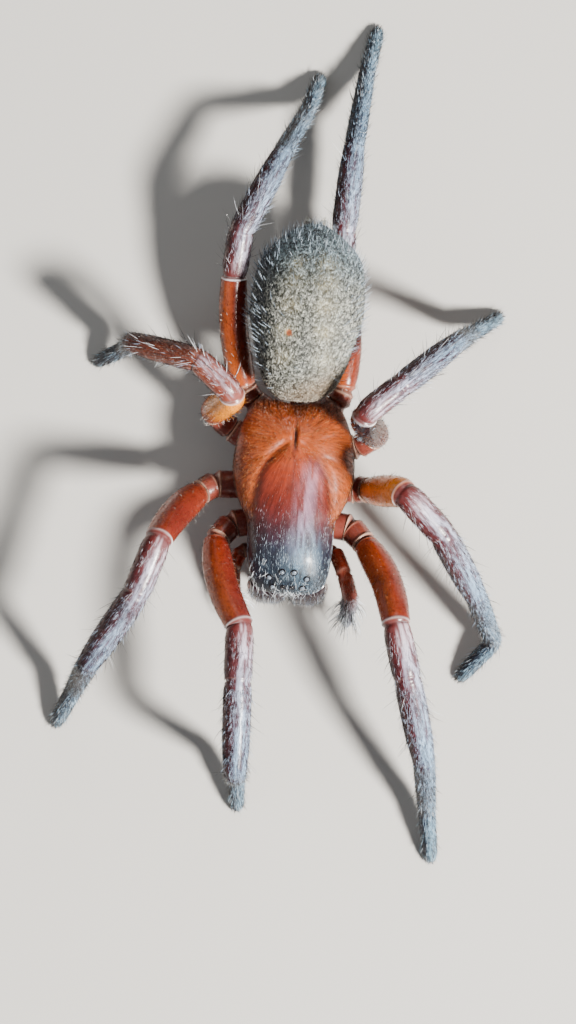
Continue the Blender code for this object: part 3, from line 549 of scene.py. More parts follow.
def add_carapace(materials, rng):
    """The shield of the head and chest with its short hairs, glints and bristles; the head hairs and
    bright setae are set brighter and thicker on the lit side, as painted highlights.
    """
    grid = ball_grid(carapace_section, CARAPACE_REAR, CARAPACE_FRONT, 230, 200)
    skin = Skin(grid, carapace_tints(grid))
    skin.build("carapace_shell", "carapace", materials["carapace"], ["carapace"])
    x, y, z = np.moveaxis(grid, -1, 0)
    upper = z > profile(CARAPACE_RIM_HEIGHT, y) + 0.05
    edge = head_edge_distance(x, y)

    def outward(spots):
        """Hairs on the chest run out from the fovea and those on the head run forward."""
        lean = spots["root"] - np.array((0.0, FOVEA_CENTRE, 0.0))
        lean[:, 2] = 0.0
        front = smooth(-0.4, -1.8, spots["root"][:, 1])[:, None]
        return unit(lean) * (1 - front) + FORWARD * front

    def ruffled(spots):
        return outward(spots) + 0.45 * rng.normal(size=spots["root"].shape)

    def chest_tint(spots):
        light = spots["tint"] * 0.65 + srgb(230, 176, 110) * 0.35
        return blend(spots["tint"] * 0.45, light, rng.random(len(light)) < 0.24)

    def head_tint(spots):
        at_x, at_y = spots["root"][:, 0], spots["root"][:, 1]
        bright = blend(srgb(214, 178, 176), srgb(150, 196, 226), smooth(-1.4, -2.8, at_y))
        dull = blend(spots["tint"] * 1.5, srgb(24, 32, 50), smooth(-1.6, -3.0, at_y))
        # Painted highlight: head hairs are brighter towards the lit side and darker away from it.
        painted_highlight = np.clip(0.08 + 0.85 * bell(at_x - 0.45, 0.55), 0.0, 1.0)
        return blend(dull, bright, painted_highlight * rng.random(len(dull)) ** 0.8)

    def glint_tint(spots):
        front = smooth(-1.4, -2.6, spots["root"][:, 1])
        tint = blend(srgb(220, 190, 200), srgb(206, 228, 246), front)
        return tint * (rng.uniform(0.2, 1.0, len(tint)) ** 1.5)[:, None]

    chest = upper * (0.5 + 0.5 * (y > 1.9)) * (y > -2.0)
    chest = chest * smooth(-0.25, 0.05, edge + smooth(0.2, 0.8, y))
    fringe = upper * smooth(1.85, 2.35, y) * (np.abs(x) < 1.6)
    # More head hairs on the lit side, carrying the painted highlight.
    lit = bell(x - 0.45, 0.75) * (0.25 + smooth(-0.6, -2.6, y))
    head = upper * (0.04 + 0.25 * smooth(0.4, -2.6, y) + lit) * (y < 0.9) * (edge < 0.0)
    # Bright setae, set more thickly on the lit side of the head as painted glints, and in a cluster
    # behind the fovea.
    glints = upper * smooth(-0.4, -2.6, y) * (0.26 + bell(x - 0.45, 0.58) * smooth(-0.8, -2.2, y))
    glints = glints + 0.5 * upper * bell(x, 0.40) * bell(y - 1.85, 0.12)
    glints = glints * smooth(0.35, 0.70, noise(grid, 4.5, 14))
    corner = bell(x + 0.95, 0.45) * bell(y + 3.75, 0.45)
    middle = bell(x, 0.35) * smooth(-3.9, -4.2, y)
    front = upper * (0.05 + smooth(-3.5, -4.2, y) + corner + 2.0 * middle) * (y < -2.6)
    bristle_tint = either(srgb(34, 36, 44), srgb(236, 242, 248), 0.62, rng)
    for name, *settings, material, joints in (
            ("carapace_chest", 7000, chest, chest_tint, outward,
             (0.08, 0.30), 0.08, (0.10, 0.19), 0.0044, "fine_hair", 1),
            ("carapace_fringe", 300, fringe, srgb(96, 48, 22), -FORWARD,
             (0.1, 0.6), 0.1, (0.16, 0.34), 0.0070, "fine_hair", 2),
            ("carapace_head", 4200, head, head_tint, outward,
             (0.05, 0.22), 0.06, (0.06, 0.12), 0.0028, "fine_hair", 2),
            ("carapace_setae", 1500, glints, glint_tint, outward,
             (0.02, 0.22), 0.0, (0.07, 0.15), (0.003, 0.007), "fine_hair", 2),
            ("head_bristles", 120, front, bristle_tint, ruffled,
             (0.5, 1.2), 0.1, (0.18, 0.42), 0.0062, "bristle", 3)):
        coat(f"coat_{name}", skin, *settings, "carapace", materials[material], rng, joints)


# Eyes

# Place across and along the head, and radius
EYES = {
    "anterior_median": (0.155, -4.03, 0.085),
    "anterior_lateral": (0.520, -4.02, 0.100),
    "posterior_median": (0.210, -3.50, 0.105),
    "posterior_lateral": (0.650, -3.70, 0.105),
}
EYE_SINK = 0.03
EYE_BLACK = srgb(12, 12, 16)
# Pale cap of the secondary eyes: their tapetum colour and a painted highlight
EYE_PEARL_AND_GLINT = srgb(98, 108, 120)
EYE_RIM_COLOUR = srgb(14, 13, 18)
# Height of the rim's outline over the eye's middle, and its share of the eye's radius
EYE_RIM = [
    (-0.03, 0.0), (-0.03, 1.05), (0.004, 1.22), (0.022, 1.12), (0.012, 0.95), (-0.02, 0.8),
    (-0.025, 0.0),
]


def carapace_top_at(x, y):
    """Height and outward direction of the carapace's upper face at a place."""
    angle = np.linspace(0.0, math.pi / 2, 2000)

    def height(px, py):
        points = carapace_section(np.full_like(angle, py), np.cos(angle), np.sin(angle))
        return np.interp(-abs(px), -points[:, 0], points[:, 2])

    step = 0.02
    slope_x = (height(x + step, y) - height(x - step, y)) / (2 * step)
    slope_y = (height(x, y + step) - height(x, y - step)) / (2 * step)
    return height(x, y), unit(np.array((-slope_x, -slope_y, 1.0)))


def turned_rings(stations, start, aim, around):
    """Rings of a turned shape: (height, radius) stations along a straight axis."""
    aim = unit(np.asarray(aim, dtype=float))
    first = unit(np.cross(aim, (1.0, 0.0, 0.0) if abs(aim[2]) > 0.9 else UP))
    second = np.cross(aim, first)
    angle = np.linspace(0.0, 2.0 * math.pi, around, endpoint=False)
    circle = np.cos(angle)[:, None] * first + np.sin(angle)[:, None] * second
    return np.stack([start + aim * height + circle * radius for height, radius in stations])


def add_eyes(materials):
    """Each eye is a clear dome with a raised dark rim, sunk in the head."""
    for kind, (x, y, radius) in EYES.items():
        for side, mirror in SIDES:
            height, outward = carapace_top_at(mirror * x, y)
            centre = np.array((mirror * x, y, height)) - outward * EYE_SINK
            arc = np.linspace(0.0, math.pi, 26)
            stations = [(-radius * math.cos(a), radius * math.sin(a)) for a in arc]
            rings = turned_rings(stations, centre, outward, 32)
            tints = np.broadcast_to(EYE_BLACK, rings.shape).copy()
            # The secondary eyes take a pale cap at the top of the lens: partly their pale tapetum,
            # partly a painted highlight.
            if kind != "anterior_median":
                tints[-7:] = EYE_PEARL_AND_GLINT
            Skin(rings, tints).build(f"lens_{kind}_{side}", "eyes", materials["eye"],
                                     [f"eye_{kind}_{side}"])
            rim = [(EYE_SINK + rise, max(share * radius, 0.001)) for rise, share in EYE_RIM]
            rings = turned_rings(rim, centre, outward, 32)
            Skin(rings, np.broadcast_to(EYE_RIM_COLOUR, rings.shape)).build(
                f"eye_rim_{kind}_{side}", "carapace", materials["dark_shell"], [])


# Trunk: chest core, sternum plate, waist and abdomen

STERNUM_REAR = 2.25
STERNUM_FRONT = -2.05
STERNUM_HALF_WIDTH = [(-2.05, 0.80), (-0.80, 0.96), (0.40, 0.96), (1.40, 0.78), (2.25, 0.55)]
CORE_TOP = 2.95
STERNUM_UNDERSIDE = 1.35
CORE_BLUNTNESS = 4.0
CORE_BOXINESS = 0.7
WAIST_RADIUS = 0.34
WAIST_WAISTING = 0.10

ABDOMEN_REAR = 8.72
ABDOMEN_FRONT = 2.45
ABDOMEN_HALF_WIDTH = [
    (2.45, 1.80), (3.00, 1.78), (3.50, 1.72), (4.00, 1.75), (4.50, 1.80), (5.60, 1.98),
    (7.07, 1.98), (7.60, 1.89), (8.10, 1.66), (8.50, 1.28), (8.72, 1.10),
]
ABDOMEN_MID_HEIGHT = [
    (2.45, 3.94), (3.30, 3.84), (4.50, 3.80), (6.00, 3.80), (7.50, 3.70), (8.72, 3.40),
]
ABDOMEN_RISE = [(2.45, 1.15), (3.50, 1.42), (4.50, 1.55), (6.00, 1.64), (7.50, 1.56), (8.72, 1.20)]
ABDOMEN_DROP = [(2.45, 0.85), (3.50, 1.25), (4.50, 1.48), (6.00, 1.60), (7.50, 1.55), (8.72, 1.20)]
ABDOMEN_END_BLUNTNESS = 2.6
ABDOMEN_YAW_DEGREES = 2.5
ABDOMEN_YAW_PIVOT = (0.18, 5.70)
BELLY_TAPER = 1.15


def core_section(y, side, up):
    """Points of the boxy core of the chest, whose underside is the sternum."""
    share = (STERNUM_REAR - y) / (STERNUM_REAR - STERNUM_FRONT)
    scale = end_rounding(share, CORE_BLUNTNESS)
    middle = (CORE_TOP + STERNUM_UNDERSIDE) / 2
    half_height = (CORE_TOP - STERNUM_UNDERSIDE) / 2
    x = profile(STERNUM_HALF_WIDTH, y) * scale * signed_power(side, CORE_BOXINESS)
    z = middle + half_height * scale * signed_power(up, CORE_BOXINESS)
    return np.stack([x, y, z], axis=-1)


def core_tints(points):
    """Pale flanks and a red-brown sternum with a dark edge."""
    shield = smooth(1.75, 1.5, points[..., 2])
    colour = blend(srgb(150, 118, 96), srgb(136, 62, 36), shield)
    edge = bell(points[..., 2] - 1.55, 0.08)
    return blend(colour, srgb(70, 30, 20), 0.6 * edge)


def abdomen_middle(y):
    """How far the abdomen's middle line lies to the side, as it is turned a little."""
    pivot_x, pivot_y = ABDOMEN_YAW_PIVOT
    return pivot_x + (y - pivot_y) * math.tan(math.radians(ABDOMEN_YAW_DEGREES))


def abdomen_section(y, side, up):
    """Points of the abdomen at places along it, for cosine and sine round each section."""
    share = (ABDOMEN_REAR - y) / (ABDOMEN_REAR - ABDOMEN_FRONT)
    scale = end_rounding(share, ABDOMEN_END_BLUNTNESS)
    taper = np.where(up < 0.0, BELLY_TAPER, 1.0)
    reach = np.where(up >= 0.0, profile(ABDOMEN_RISE, y), profile(ABDOMEN_DROP, y))
    x = abdomen_middle(y) + profile(ABDOMEN_HALF_WIDTH, y) * scale * signed_power(side, taper)
    return np.stack([x, y, profile(ABDOMEN_MID_HEIGHT, y) + reach * scale * up], axis=-1)


# Dots where muscles meet the skin: place across and along
SIGILLA = [(0.48, 4.35), (0.55, 5.55), (0.42, 6.60)]
ABDOMEN_PALE = srgb(168, 158, 122)
ABDOMEN_BASE = srgb(58, 60, 52)
ABDOMEN_DARK = srgb(32, 38, 44)
ABDOMEN_BELLY = srgb(112, 104, 90)
PATCH_PLACES = (3.9, 4.8, 5.7, 6.5, 7.2)
SCAR_PLACE = (-0.40, 4.76)
SCAR_RADIUS = 0.14
LUNG_PLACE = (0.85, 3.55)
EPIGYNE_PLACE = (0.0, 4.05)


def abdomen_tints(points):
    """Olive grey skin with pale patches, dark dots, the scar, the marks of the belly and a browner
    front, partly painted shadow.
    """
    x, y, z = np.moveaxis(points, -1, 0)
    from_scar = np.hypot(x - SCAR_PLACE[0], y - SCAR_PLACE[1])
    x = x - abdomen_middle(y)
    upper, lower = smooth(3.5, 4.2, z), smooth(3.0, 2.4, z)
    heart = bell(x, 0.28) * smooth(2.9, 3.6, y) * smooth(5.9, 5.0, y)
    patches = sum(bell(np.abs(x) - 0.75 + 0.05 * k, 0.34) * bell(y - place, 0.30)
                  for k, place in enumerate(PATCH_PLACES))
    patches = patches * (0.5 + 0.9 * noise(points, 2.2, 8))
    dots = [bell(np.hypot(np.abs(x) - across, y - place), 0.07) for across, place in SIGILLA]
    lungs = smooth(0.36, 0.26, np.hypot(np.abs(x) - LUNG_PLACE[0], 0.8 * (y - LUNG_PLACE[1])))
    plate = smooth(0.26, 0.18, np.hypot(x - EPIGYNE_PLACE[0], y - EPIGYNE_PLACE[1]))
    # Browner front, slanting towards the right: partly the front's own brown, partly a painted cast
    # shadow.
    front = smooth(3.5, 2.5, y - 0.45 * x)
    return painted(
        ABDOMEN_BASE, (ABDOMEN_DARK, smooth(0.9, 1.8, np.abs(x)) * 0.75),
        (ABDOMEN_DARK, smooth(6.2, 8.2, y) * 0.75), (ABDOMEN_DARK, 0.4 * heart),
        (ABDOMEN_PALE, np.clip(0.6 * patches, 0, 1) * upper),
        *[(srgb(60, 40, 28), 0.7 * dot * upper) for dot in dots], (ABDOMEN_BELLY, 0.8 * lower),
        (srgb(164, 138, 98), 0.7 * lungs * lower), (srgb(84, 36, 22), 0.85 * plate * lower),
        (srgb(104, 80, 54), 0.65 * front * (1 - lower)),
        (srgb(146, 72, 26), smooth(SCAR_RADIUS, 0.09, from_scar) * upper),
        (srgb(58, 20, 10), bell(from_scar, 0.055) * upper))


def add_trunk(materials, rng):
    """The core of the chest between the legs, and the waist."""
    grid = ball_grid(core_section, STERNUM_REAR, STERNUM_FRONT, 60, 72)
    core = Skin(grid, core_tints(grid))
    core.build("chest_core", "sternum", materials["leg_shell"], ["sternum"])
    coat("coat_sternum", core, 500, grid[..., 2] < 1.7, srgb(60, 50, 44), -FORWARD, (0.3, 0.8),
         0.3, (0.12, 0.26), 0.009, "sternum", materials["fine_hair"], rng)
    share = np.linspace(0.0, 1.0, 30)
    axis = np.stack([0.03 * share, 2.0 + 1.4 * share, 2.35 + 0.55 * share], axis=-1)
    radius = WAIST_RADIUS - WAIST_WAISTING * np.sin(math.pi * share)
    radius[0] = radius[-1] = 1e-4
    angle = np.linspace(0.0, 2.0 * math.pi, 36, endpoint=False)
    ring = np.stack([np.cos(angle), np.zeros(36), np.sin(angle)], axis=-1)
    rings = axis[:, None] + radius[:, None, None] * ring[None]
    waist = Skin(rings, np.broadcast_to(srgb(110, 56, 34), rings.shape))
    waist.build("waist", "pedicel", materials["leg_shell"], ["pedicel"])


def add_abdomen(materials, rng):
    """The abdomen with its lumps and dips, its fur in two pieces and its bristles."""
    grid = ball_grid(abdomen_section, ABDOMEN_REAR, ABDOMEN_FRONT, 190, 200)
    tints = abdomen_tints(grid)
    x, y, z = np.moveaxis(grid, -1, 0)
    dip = sum(bell(np.hypot(np.abs(x - abdomen_middle(y)) - across, y - place), 0.10)
              for across, place in SIGILLA)
    lumps = 0.035 * (noise(grid, 1.8, 1) - 0.5) + 0.012 * (noise(grid, 6.0, 2) - 0.5)
    grid = grid + Skin(grid, tints).normals * (lumps - 0.03 * dip * (z > 3.8) - 0.02)[..., None]
    skin = Skin(grid, tints)
    skin.build("abdomen_skin", "abdomen", materials["abdomen"], ["abdomen"])

    def fur_tint(spots):
        at_y = spots["root"][:, 1]
        at_x = spots["root"][:, 0] - abdomen_middle(at_y)
        pale = rng.random(len(at_y))[:, None] ** 0.7
        # Bluish rear, and a browner front slanting to the right that is partly a painted cast shadow.
        rear, front = smooth(5.8, 7.6, at_y), smooth(3.6, 2.5, at_y - 0.45 * at_x)
        # Painted shade: the fur is darker on both flanks, where the sides turn away from the light.
        dull = smooth(1.15, 1.95, np.abs(at_x - 0.25))
        clump = smooth(0.28, 0.72, noise(spots["root"], FUR_CLUMP, 21))
        light = painted(srgb(184, 188, 174) * (1 - pale) + srgb(255, 255, 244) * pale,
                        (srgb(178, 210, 226) * (0.5 + 0.5 * pale), 0.8 * rear),
                        (srgb(150, 122, 86) * (0.5 + 0.5 * pale), 0.7 * front))
        light = light * (1.0 - 0.50 * dull)[:, None] * (0.45 + 0.75 * clump)[:, None]
        # Share of dark hairs: real clumps, plus painted shade, with more dark hairs on the flanks and
        # the left side and fewer on the lit right side.
        shade = 0.70 - 0.62 * clump + 0.16 * dull
        shade = shade + 0.14 * smooth(-0.7, -1.5, at_x) - 0.24 * smooth(0.1, 1.2, at_x)
        return blend(light, spots["tint"] * 0.25, rng.random(len(at_y)) < shade)

    def backward(scatter):
        return lambda spots: -FORWARD + scatter * rng.normal(size=spots["root"].shape)

    x, y, z = np.moveaxis(grid, -1, 0)
    clear = (np.hypot(x - SCAR_PLACE[0], y - SCAR_PLACE[1]) > SCAR_RADIUS) | (z < 4.0)
    density = (0.35 + 0.65 * smooth(2.6, 3.6, z)) * clear
    for part in range(2):
        coat(f"coat_abdomen_{part}", skin, 38000, density, fur_tint, backward(0.55), (0.25, 0.85),
             0.0, (0.07, 0.13), 0.0078, "abdomen", materials["fine_hair"], rng, 1)
    flank = smooth(0.9, 1.8, np.abs(x - abdomen_middle(y))) + smooth(6.4, 8.4, y)
    coat("coat_abdomen_bristles", skin, 1500, 0.03 + flank,
         either(srgb(42, 46, 54), srgb(176, 194, 210), 0.45, rng), backward(0.3), (0.75, 1.25), 0.7,
         (0.22, 0.50), 0.0072, "abdomen", materials["bristle"], rng, 3)


# Spinnerets

SPINNERET_BASE = np.array((0.33, 8.60, 2.62))
# Place across and up, length and radius
SPINNERET_ROWS = [(0.20, -0.16, 0.50, 0.13), (0.10, 0.0, 0.30, 0.08), (0.21, 0.15, 0.46, 0.105)]
SPINNERET_RISE = math.radians(8.0)
# Shares of a spinneret's length and radius
SPINNERET_OUTLINE = [
    (0.0, 0.0), (0.0, 1.0), (0.35, 1.02), (0.62, 0.92), (0.64, 0.84), (0.68, 0.86), (0.92, 0.6),
    (1.0, 0.3),
]


def add_spinnerets(materials, rng):
    """Three short spinnerets a side, each of two joints."""
    for side, mirror in SIDES:
        for row, (across, up, length, radius) in enumerate(SPINNERET_ROWS):
            aim = (mirror * 0.16, math.cos(SPINNERET_RISE), math.sin(SPINNERET_RISE) + 0.12 * row)
            root = SPINNERET_BASE + np.array((mirror * across, -0.15, up))
            stations = [(length * share, max(radius * width, 1e-4))
                        for share, width in SPINNERET_OUTLINE]
            rings = turned_rings(stations + [(length + 0.01, 1e-4)], root, aim, 24)
            tints = np.broadcast_to(srgb(122, 116, 106), rings.shape).copy()
            tints[4:6] = srgb(178, 172, 162)
            tints[7:] = srgb(206, 212, 214)
            skin = Skin(rings, tints)
            nodes = ["spinnerets"] if side == "left" and row == 0 else []
            skin.build(f"spinneret_{side}_{row}", "spinnerets", materials["abdomen"], nodes)
            coat(f"coat_spinneret_{side}_{row}", skin, 70, 1.0, srgb(190, 188, 176), aim,
                 (0.3, 0.9), 0.2, (0.12, 0.25), 0.009, "spinnerets", materials["fine_hair"], rng)


# Limbs

# Lengths of femur, patella, tibia, metatarsus and tarsus of each pair
LEG_LENGTHS = {
    1: (4.05, 1.90, 3.35, 3.30, 2.10),
    2: (3.85, 2.05, 3.20, 3.30, 2.00),
    3: (3.45, 1.80, 2.85, 3.00, 1.75),
    4: (4.05, 1.60, 3.05, 3.20, 1.80),
}
TIP_HEIGHT = 0.07
CORNER_RADIUS = 0.50
CORNER_SHARE = 0.42
# Radius along coxa, trochanter, femur, patella, tibia, metatarsus and tarsus
RADIUS_TABLES = [
    [(0.00, 0.40), (0.25, 0.48), (0.80, 0.49), (1.00, 0.44)],
    [(0.00, 0.44), (0.30, 0.46), (1.00, 0.40)],
    [(0.00, 0.40), (0.12, 0.50), (0.35, 0.55), (0.70, 0.54), (1.00, 0.48)],
    [(0.00, 0.45), (0.30, 0.49), (0.80, 0.49), (1.00, 0.45)],
    [(0.00, 0.45), (0.20, 0.48), (0.60, 0.47), (1.00, 0.38)],
    [(0.00, 0.36), (0.15, 0.36), (0.70, 0.32), (1.00, 0.29)],
    [(0.00, 0.29), (0.30, 0.28), (0.80, 0.25), (1.00, 0.17)],
]
LEG_RADIUS_SCALE = {1: 1.00, 2: 1.00, 3: 0.90, 4: 0.92}

# How each pair's femora bend at their middle: outward share, upward share and size
FEMUR_BEND = {1: (1.0, 0.3, 0.22), 2: (1.0, 0.5, 0.12), 3: (0.0, 1.0, 0.10), 4: (1.0, 0.3, 0.18)}

# Number, side, coxa root, coxa end, femur root, (bearing, rise) of femur, patella and
# tibia, bearing of the metatarsus, (bearing, rise) of the tarsus
LEG_POSES = [
    (1, "left", (1.20, -1.75, 1.90), (2.15, -1.88, 1.95), (2.67, -2.42, 2.40),
     (-67, 44), (-75, -4), (-75, -25), -81, (-82, -28)),
    (1, "right", (-1.20, -1.75, 1.90), (-2.12, -1.95, 1.95), (-2.62, -2.55, 2.40),
     (-70, 41), (-89, 6), (-89, -8), -87, (-87, -42)),
    (2, "left", (1.20, -0.50, 1.85), (2.30, -0.47, 1.90), (2.74, -0.49, 2.30),
     (-1, 74), (-44, -14), (-57, -38), -62, (-129, -22)),
    (2, "right", (-1.20, -0.50, 1.85), (-2.75, -0.55, 1.95), (-3.33, -0.91, 2.25),
     (-126, 58), (-109, -3), (-122, -18), -120, (-117, -40)),
    (3, "left", (1.20, 0.80, 1.85), (2.25, 1.05, 1.90), (2.89, 1.41, 2.30),
     (142, 75), (41, -8), (41, -27), 37, (35, -40)),
    (3, "right", (-1.20, 0.80, 1.85), (-2.30, 1.45, 1.90), (-3.00, 1.98, 2.30),
     (29, 73), (139, 3), (167, -30), 190, (205, -44)),
    (4, "left", (0.86, 2.05, 1.85), (1.42, 2.52, 1.90), (1.62, 3.02, 1.90),
     (94, -3), (90, 8), (86, 4), 83, (79, -20)),
    (4, "right", (-0.86, 2.05, 1.85), (-1.58, 2.48, 1.95), (-1.90, 2.95, 2.10),
     (98, 18), (84, 14), (65, -3), 66, (74, -36)),
]

# Joint after each length: how deep it dips, how high its rim stands, colour of its rim
# and how strongly the rim shows
JOINTS = [
    (0.14, 0.060, srgb(164, 130, 112), 0.95), (0.16, 0.055, srgb(168, 134, 116), 0.95),
    # The near-white rim at the knee is partly the pale joint membrane and partly a painted highlight.
    (0.11, 0.028, srgb(238, 234, 236), 1.0), (0.08, 0.012, srgb(150, 104, 96), 0.45),
    (0.12, 0.010, srgb(132, 112, 118), 0.45), (0.08, 0.006, srgb(104, 108, 120), 0.35),
]
# For the two joints at the root of a limb and for the others: the distance from a joint to its
# rim, the share of the rim on its far side and the half width of the rim's colour
INNER_JOINT = (0.13, 0.5, 0.052)
OUTER_JOINT = (0.075, 0.0, 0.021)
THICK_JOINT_RADIUS = 0.4
PATH_STEP = 0.024
ROOT_ROUNDING = 0.1
TIP_ROUNDING = 0.12
FIBRE_GRAIN_ALONG = 4.4
FIBRE_GRAIN_AROUND = 6.5

# Directions that the painted light faces: the painted highlight on silvery hair, the side of a femur
# painted darker towards the light, the side painted clear amber as light shining through it, and the
# painted glint on a femur
PAINTED_LIGHT_AIM = unit(np.array((0.52, -0.12, 0.84)))
LIT_SIDE_AIM = unit(np.array((1.0, 0.1, 0.25)))
LIGHT_THROUGH_AIM = unit(np.array((-1.0, 0.0, 0.45)))
PAINTED_GLEAM_AIM = unit(np.array((0.75, -0.35, 0.60)))
# Running length number where the painted highlight of a leg is full
PAINTED_SHINE_START = 3.05
LATE_PAINTED_SHINE = {(2, "left"): 3.45}
PAINTED_SHINE = shades((3.0, 198, 178, 188), (3.9, 180, 184, 206), (4.6, 148, 178, 208),
               (5.2, 118, 152, 182), (7.0, 130, 168, 188))
COXA = srgb(112, 52, 42)
FEMUR_RED = srgb(122, 42, 23)
FEMUR_END = srgb(112, 36, 22)
FEMUR_LIT_SIDE_RED = srgb(84, 28, 26)
FEMUR_LIGHT_THROUGH_AMBER = srgb(156, 76, 30)
FEMUR_AMBER = srgb(226, 128, 28)
FEMUR_GOLD = srgb(224, 136, 22)
UNDERSIDE_TINT = srgb(176, 104, 60)
# Colour of the painted highlight near the root of a femur
PAINTED_GLEAM = srgb(196, 190, 204)
PATELLA = srgb(90, 34, 32)
METATARSUS = srgb(40, 38, 54)
TARSUS = srgb(44, 52, 66)
# Patella, start and end of the tibia, and metatarsus
OUTER_COLOURS = [PATELLA, srgb(72, 28, 32), srgb(52, 30, 42), METATARSUS]
# Browner outer colours for the leg in shade, as painted shade
SHADED_OUTER_COLOURS = [srgb(112, 52, 40), srgb(108, 52, 34), srgb(92, 46, 34), srgb(62, 44, 44)]


def limb_colours(outer, base, end, middle=FEMUR_RED):
    """Colours along a leg whose femur starts and ends in the given colours."""
    patella, tibia, tibia_end, metatarsus = outer
    return [(0.0, COXA), (1.9, COXA), (2.06, base), (2.25, base), (2.60, middle), (2.86, end),
            (2.955, end), (2.985, patella), (3.95, tibia), (4.6, tibia), (5.0, tibia_end),
            (5.35, metatarsus), (6.0, metatarsus), (6.3, TARSUS), (7.0, TARSUS)]


# Colours of each femur: at its root, at its knee and, where it is not red, between them
FEMUR_TINTS = {
    (1, "left"): (srgb(160, 56, 20), srgb(132, 44, 18)),
    (1, "right"): (srgb(138, 44, 18), FEMUR_END),
    (2, "left"): (FEMUR_AMBER, FEMUR_AMBER, FEMUR_AMBER),
    (2, "right"): (srgb(150, 56, 22), FEMUR_RED),
    (3, "left"): (srgb(84, 32, 22), srgb(20, 16, 22), srgb(42, 22, 22)),
    (3, "right"): (srgb(156, 64, 22), FEMUR_GOLD, FEMUR_GOLD),
    (4, "left"): (srgb(140, 58, 22), FEMUR_END),
    (4, "right"): (srgb(142, 62, 24), FEMUR_RED),
}
# How strongly a femur is painted darker on the side towards the light and clear amber, as light
# shining through, on the side away from it
PAINTED_SIDE_LIGHT = {(2, "left"): 0.4, (3, "left"): 0.0, (3, "right"): 0.4}
SILVER = shades((3.0, 240, 228, 238), (4.0, 214, 226, 250), (4.8, 192, 220, 250),
                (5.4, 176, 210, 240), (7.0, 176, 212, 234))
# Hair colours of the leg in shade: pale on the patella, browner past it, as painted shade
SHADED_LEG_HAIR = shades((3.0, 232, 218, 222), (3.9, 214, 198, 200), (4.2, 150, 104, 84),
                   (7.0, 140, 110, 100))
BRISTLE = srgb(30, 26, 28)


def direction(bearing, rise):
    """Unit vector for a bearing from +X towards +Y and a rise above level, in degrees."""
    bearing, rise = math.radians(bearing), math.radians(rise)
    flat = math.cos(rise)
    return np.array((flat * math.cos(bearing), flat * math.sin(bearing), math.sin(rise)))


def leg_corners(pose):
    """Corners of a leg's middle line; the metatarsus drops so far that the tip stands on the floor."""
    number, _, coxa_root, coxa_end, femur_root, femur, patella, tibia, bearing, tarsus = pose
    lengths = LEG_LENGTHS[number]
    corners = [np.array(coxa_root), np.array(coxa_end), np.array(femur_root)]
    for length, aim in zip(lengths, (femur, patella, tibia)):
        corners.append(corners[-1] + direction(*aim) * length)
    last_step = direction(*tarsus) * lengths[4]
    drop = corners[-1][2] + last_step[2] - TIP_HEIGHT
    rise = -math.degrees(math.asin(min(1.0, drop / lengths[3])))
    corners.append(corners[-1] + direction(bearing, rise) * lengths[3])
    corners.append(corners[-1] + last_step)
    return corners


def femur_bend(pose):
    """How far the middle of a leg's femur lies off the straight line, as a vector."""
    outward, upward, size = FEMUR_BEND[pose[0]]
    along = direction(*pose[5])
    aim = np.array((math.copysign(outward, pose[4][0]), 0.0, upward))
    return unit(aim - along * (aim @ along)) * size


def rounded_path(corners, corner_radius):
    """Points along a line with arcs at its corners, each with its running length number."""
    lengths = [np.linalg.norm(b - a) for a, b in zip(corners, corners[1:])]
    reaches = [0.0] * len(corners)
    for index in range(1, len(corners) - 1):
        before = unit(corners[index] - corners[index - 1])
        after = unit(corners[index + 1] - corners[index])
        turn = math.acos(min(1.0, float(before @ after)))
        limit = CORNER_SHARE * min(lengths[index - 1], lengths[index])
        reaches[index] = min(corner_radius * math.tan(turn / 2), limit)
    places, marks = [], []
    for index, length in enumerate(lengths):
        start, end = corners[index], corners[index + 1]
        along = (end - start) / length
        first, last = reaches[index], length - reaches[index + 1]
        for place in np.linspace(first, last, max(2, round((last - first) / PATH_STEP))):
            places.append(start + along * place)
            marks.append(index + place / length)
        if index + 1 < len(lengths):
            reach = reaches[index + 1]
            onward = unit(corners[index + 2] - end)
            turn = math.acos(min(1.0, float(along @ onward)))
            radius = reach / math.tan(turn / 2)
            inward = unit(onward - along * (onward @ along))
            steps = max(2, round(radius * turn / PATH_STEP))
            for number in range(1, steps):
                part = number / steps
                angle = turn * part
                places.append(end - along * reach + along * radius * math.sin(angle)
                              + inward * radius * (1 - math.cos(angle)))
                if part < 0.5:
                    marks.append(index + 1.0 - (1.0 - 2 * part) * reach / length)
                else:
                    marks.append(index + 1 + (2 * part - 1.0) * reach / lengths[index + 1])
    return np.array(places), np.array(marks)


def carried_frame(places):
    """Upward and sideways directions carried along a line without a twist."""
    heading = unit(np.gradient(places, axis=0))
    up = np.zeros_like(places)
    up[0] = unit(UP - heading[0] * heading[0][2])
    for index in range(1, len(places)):
        up[index] = unit(up[index - 1] - heading[index] * (up[index - 1] @ heading[index]))
    return up, np.cross(heading, up)


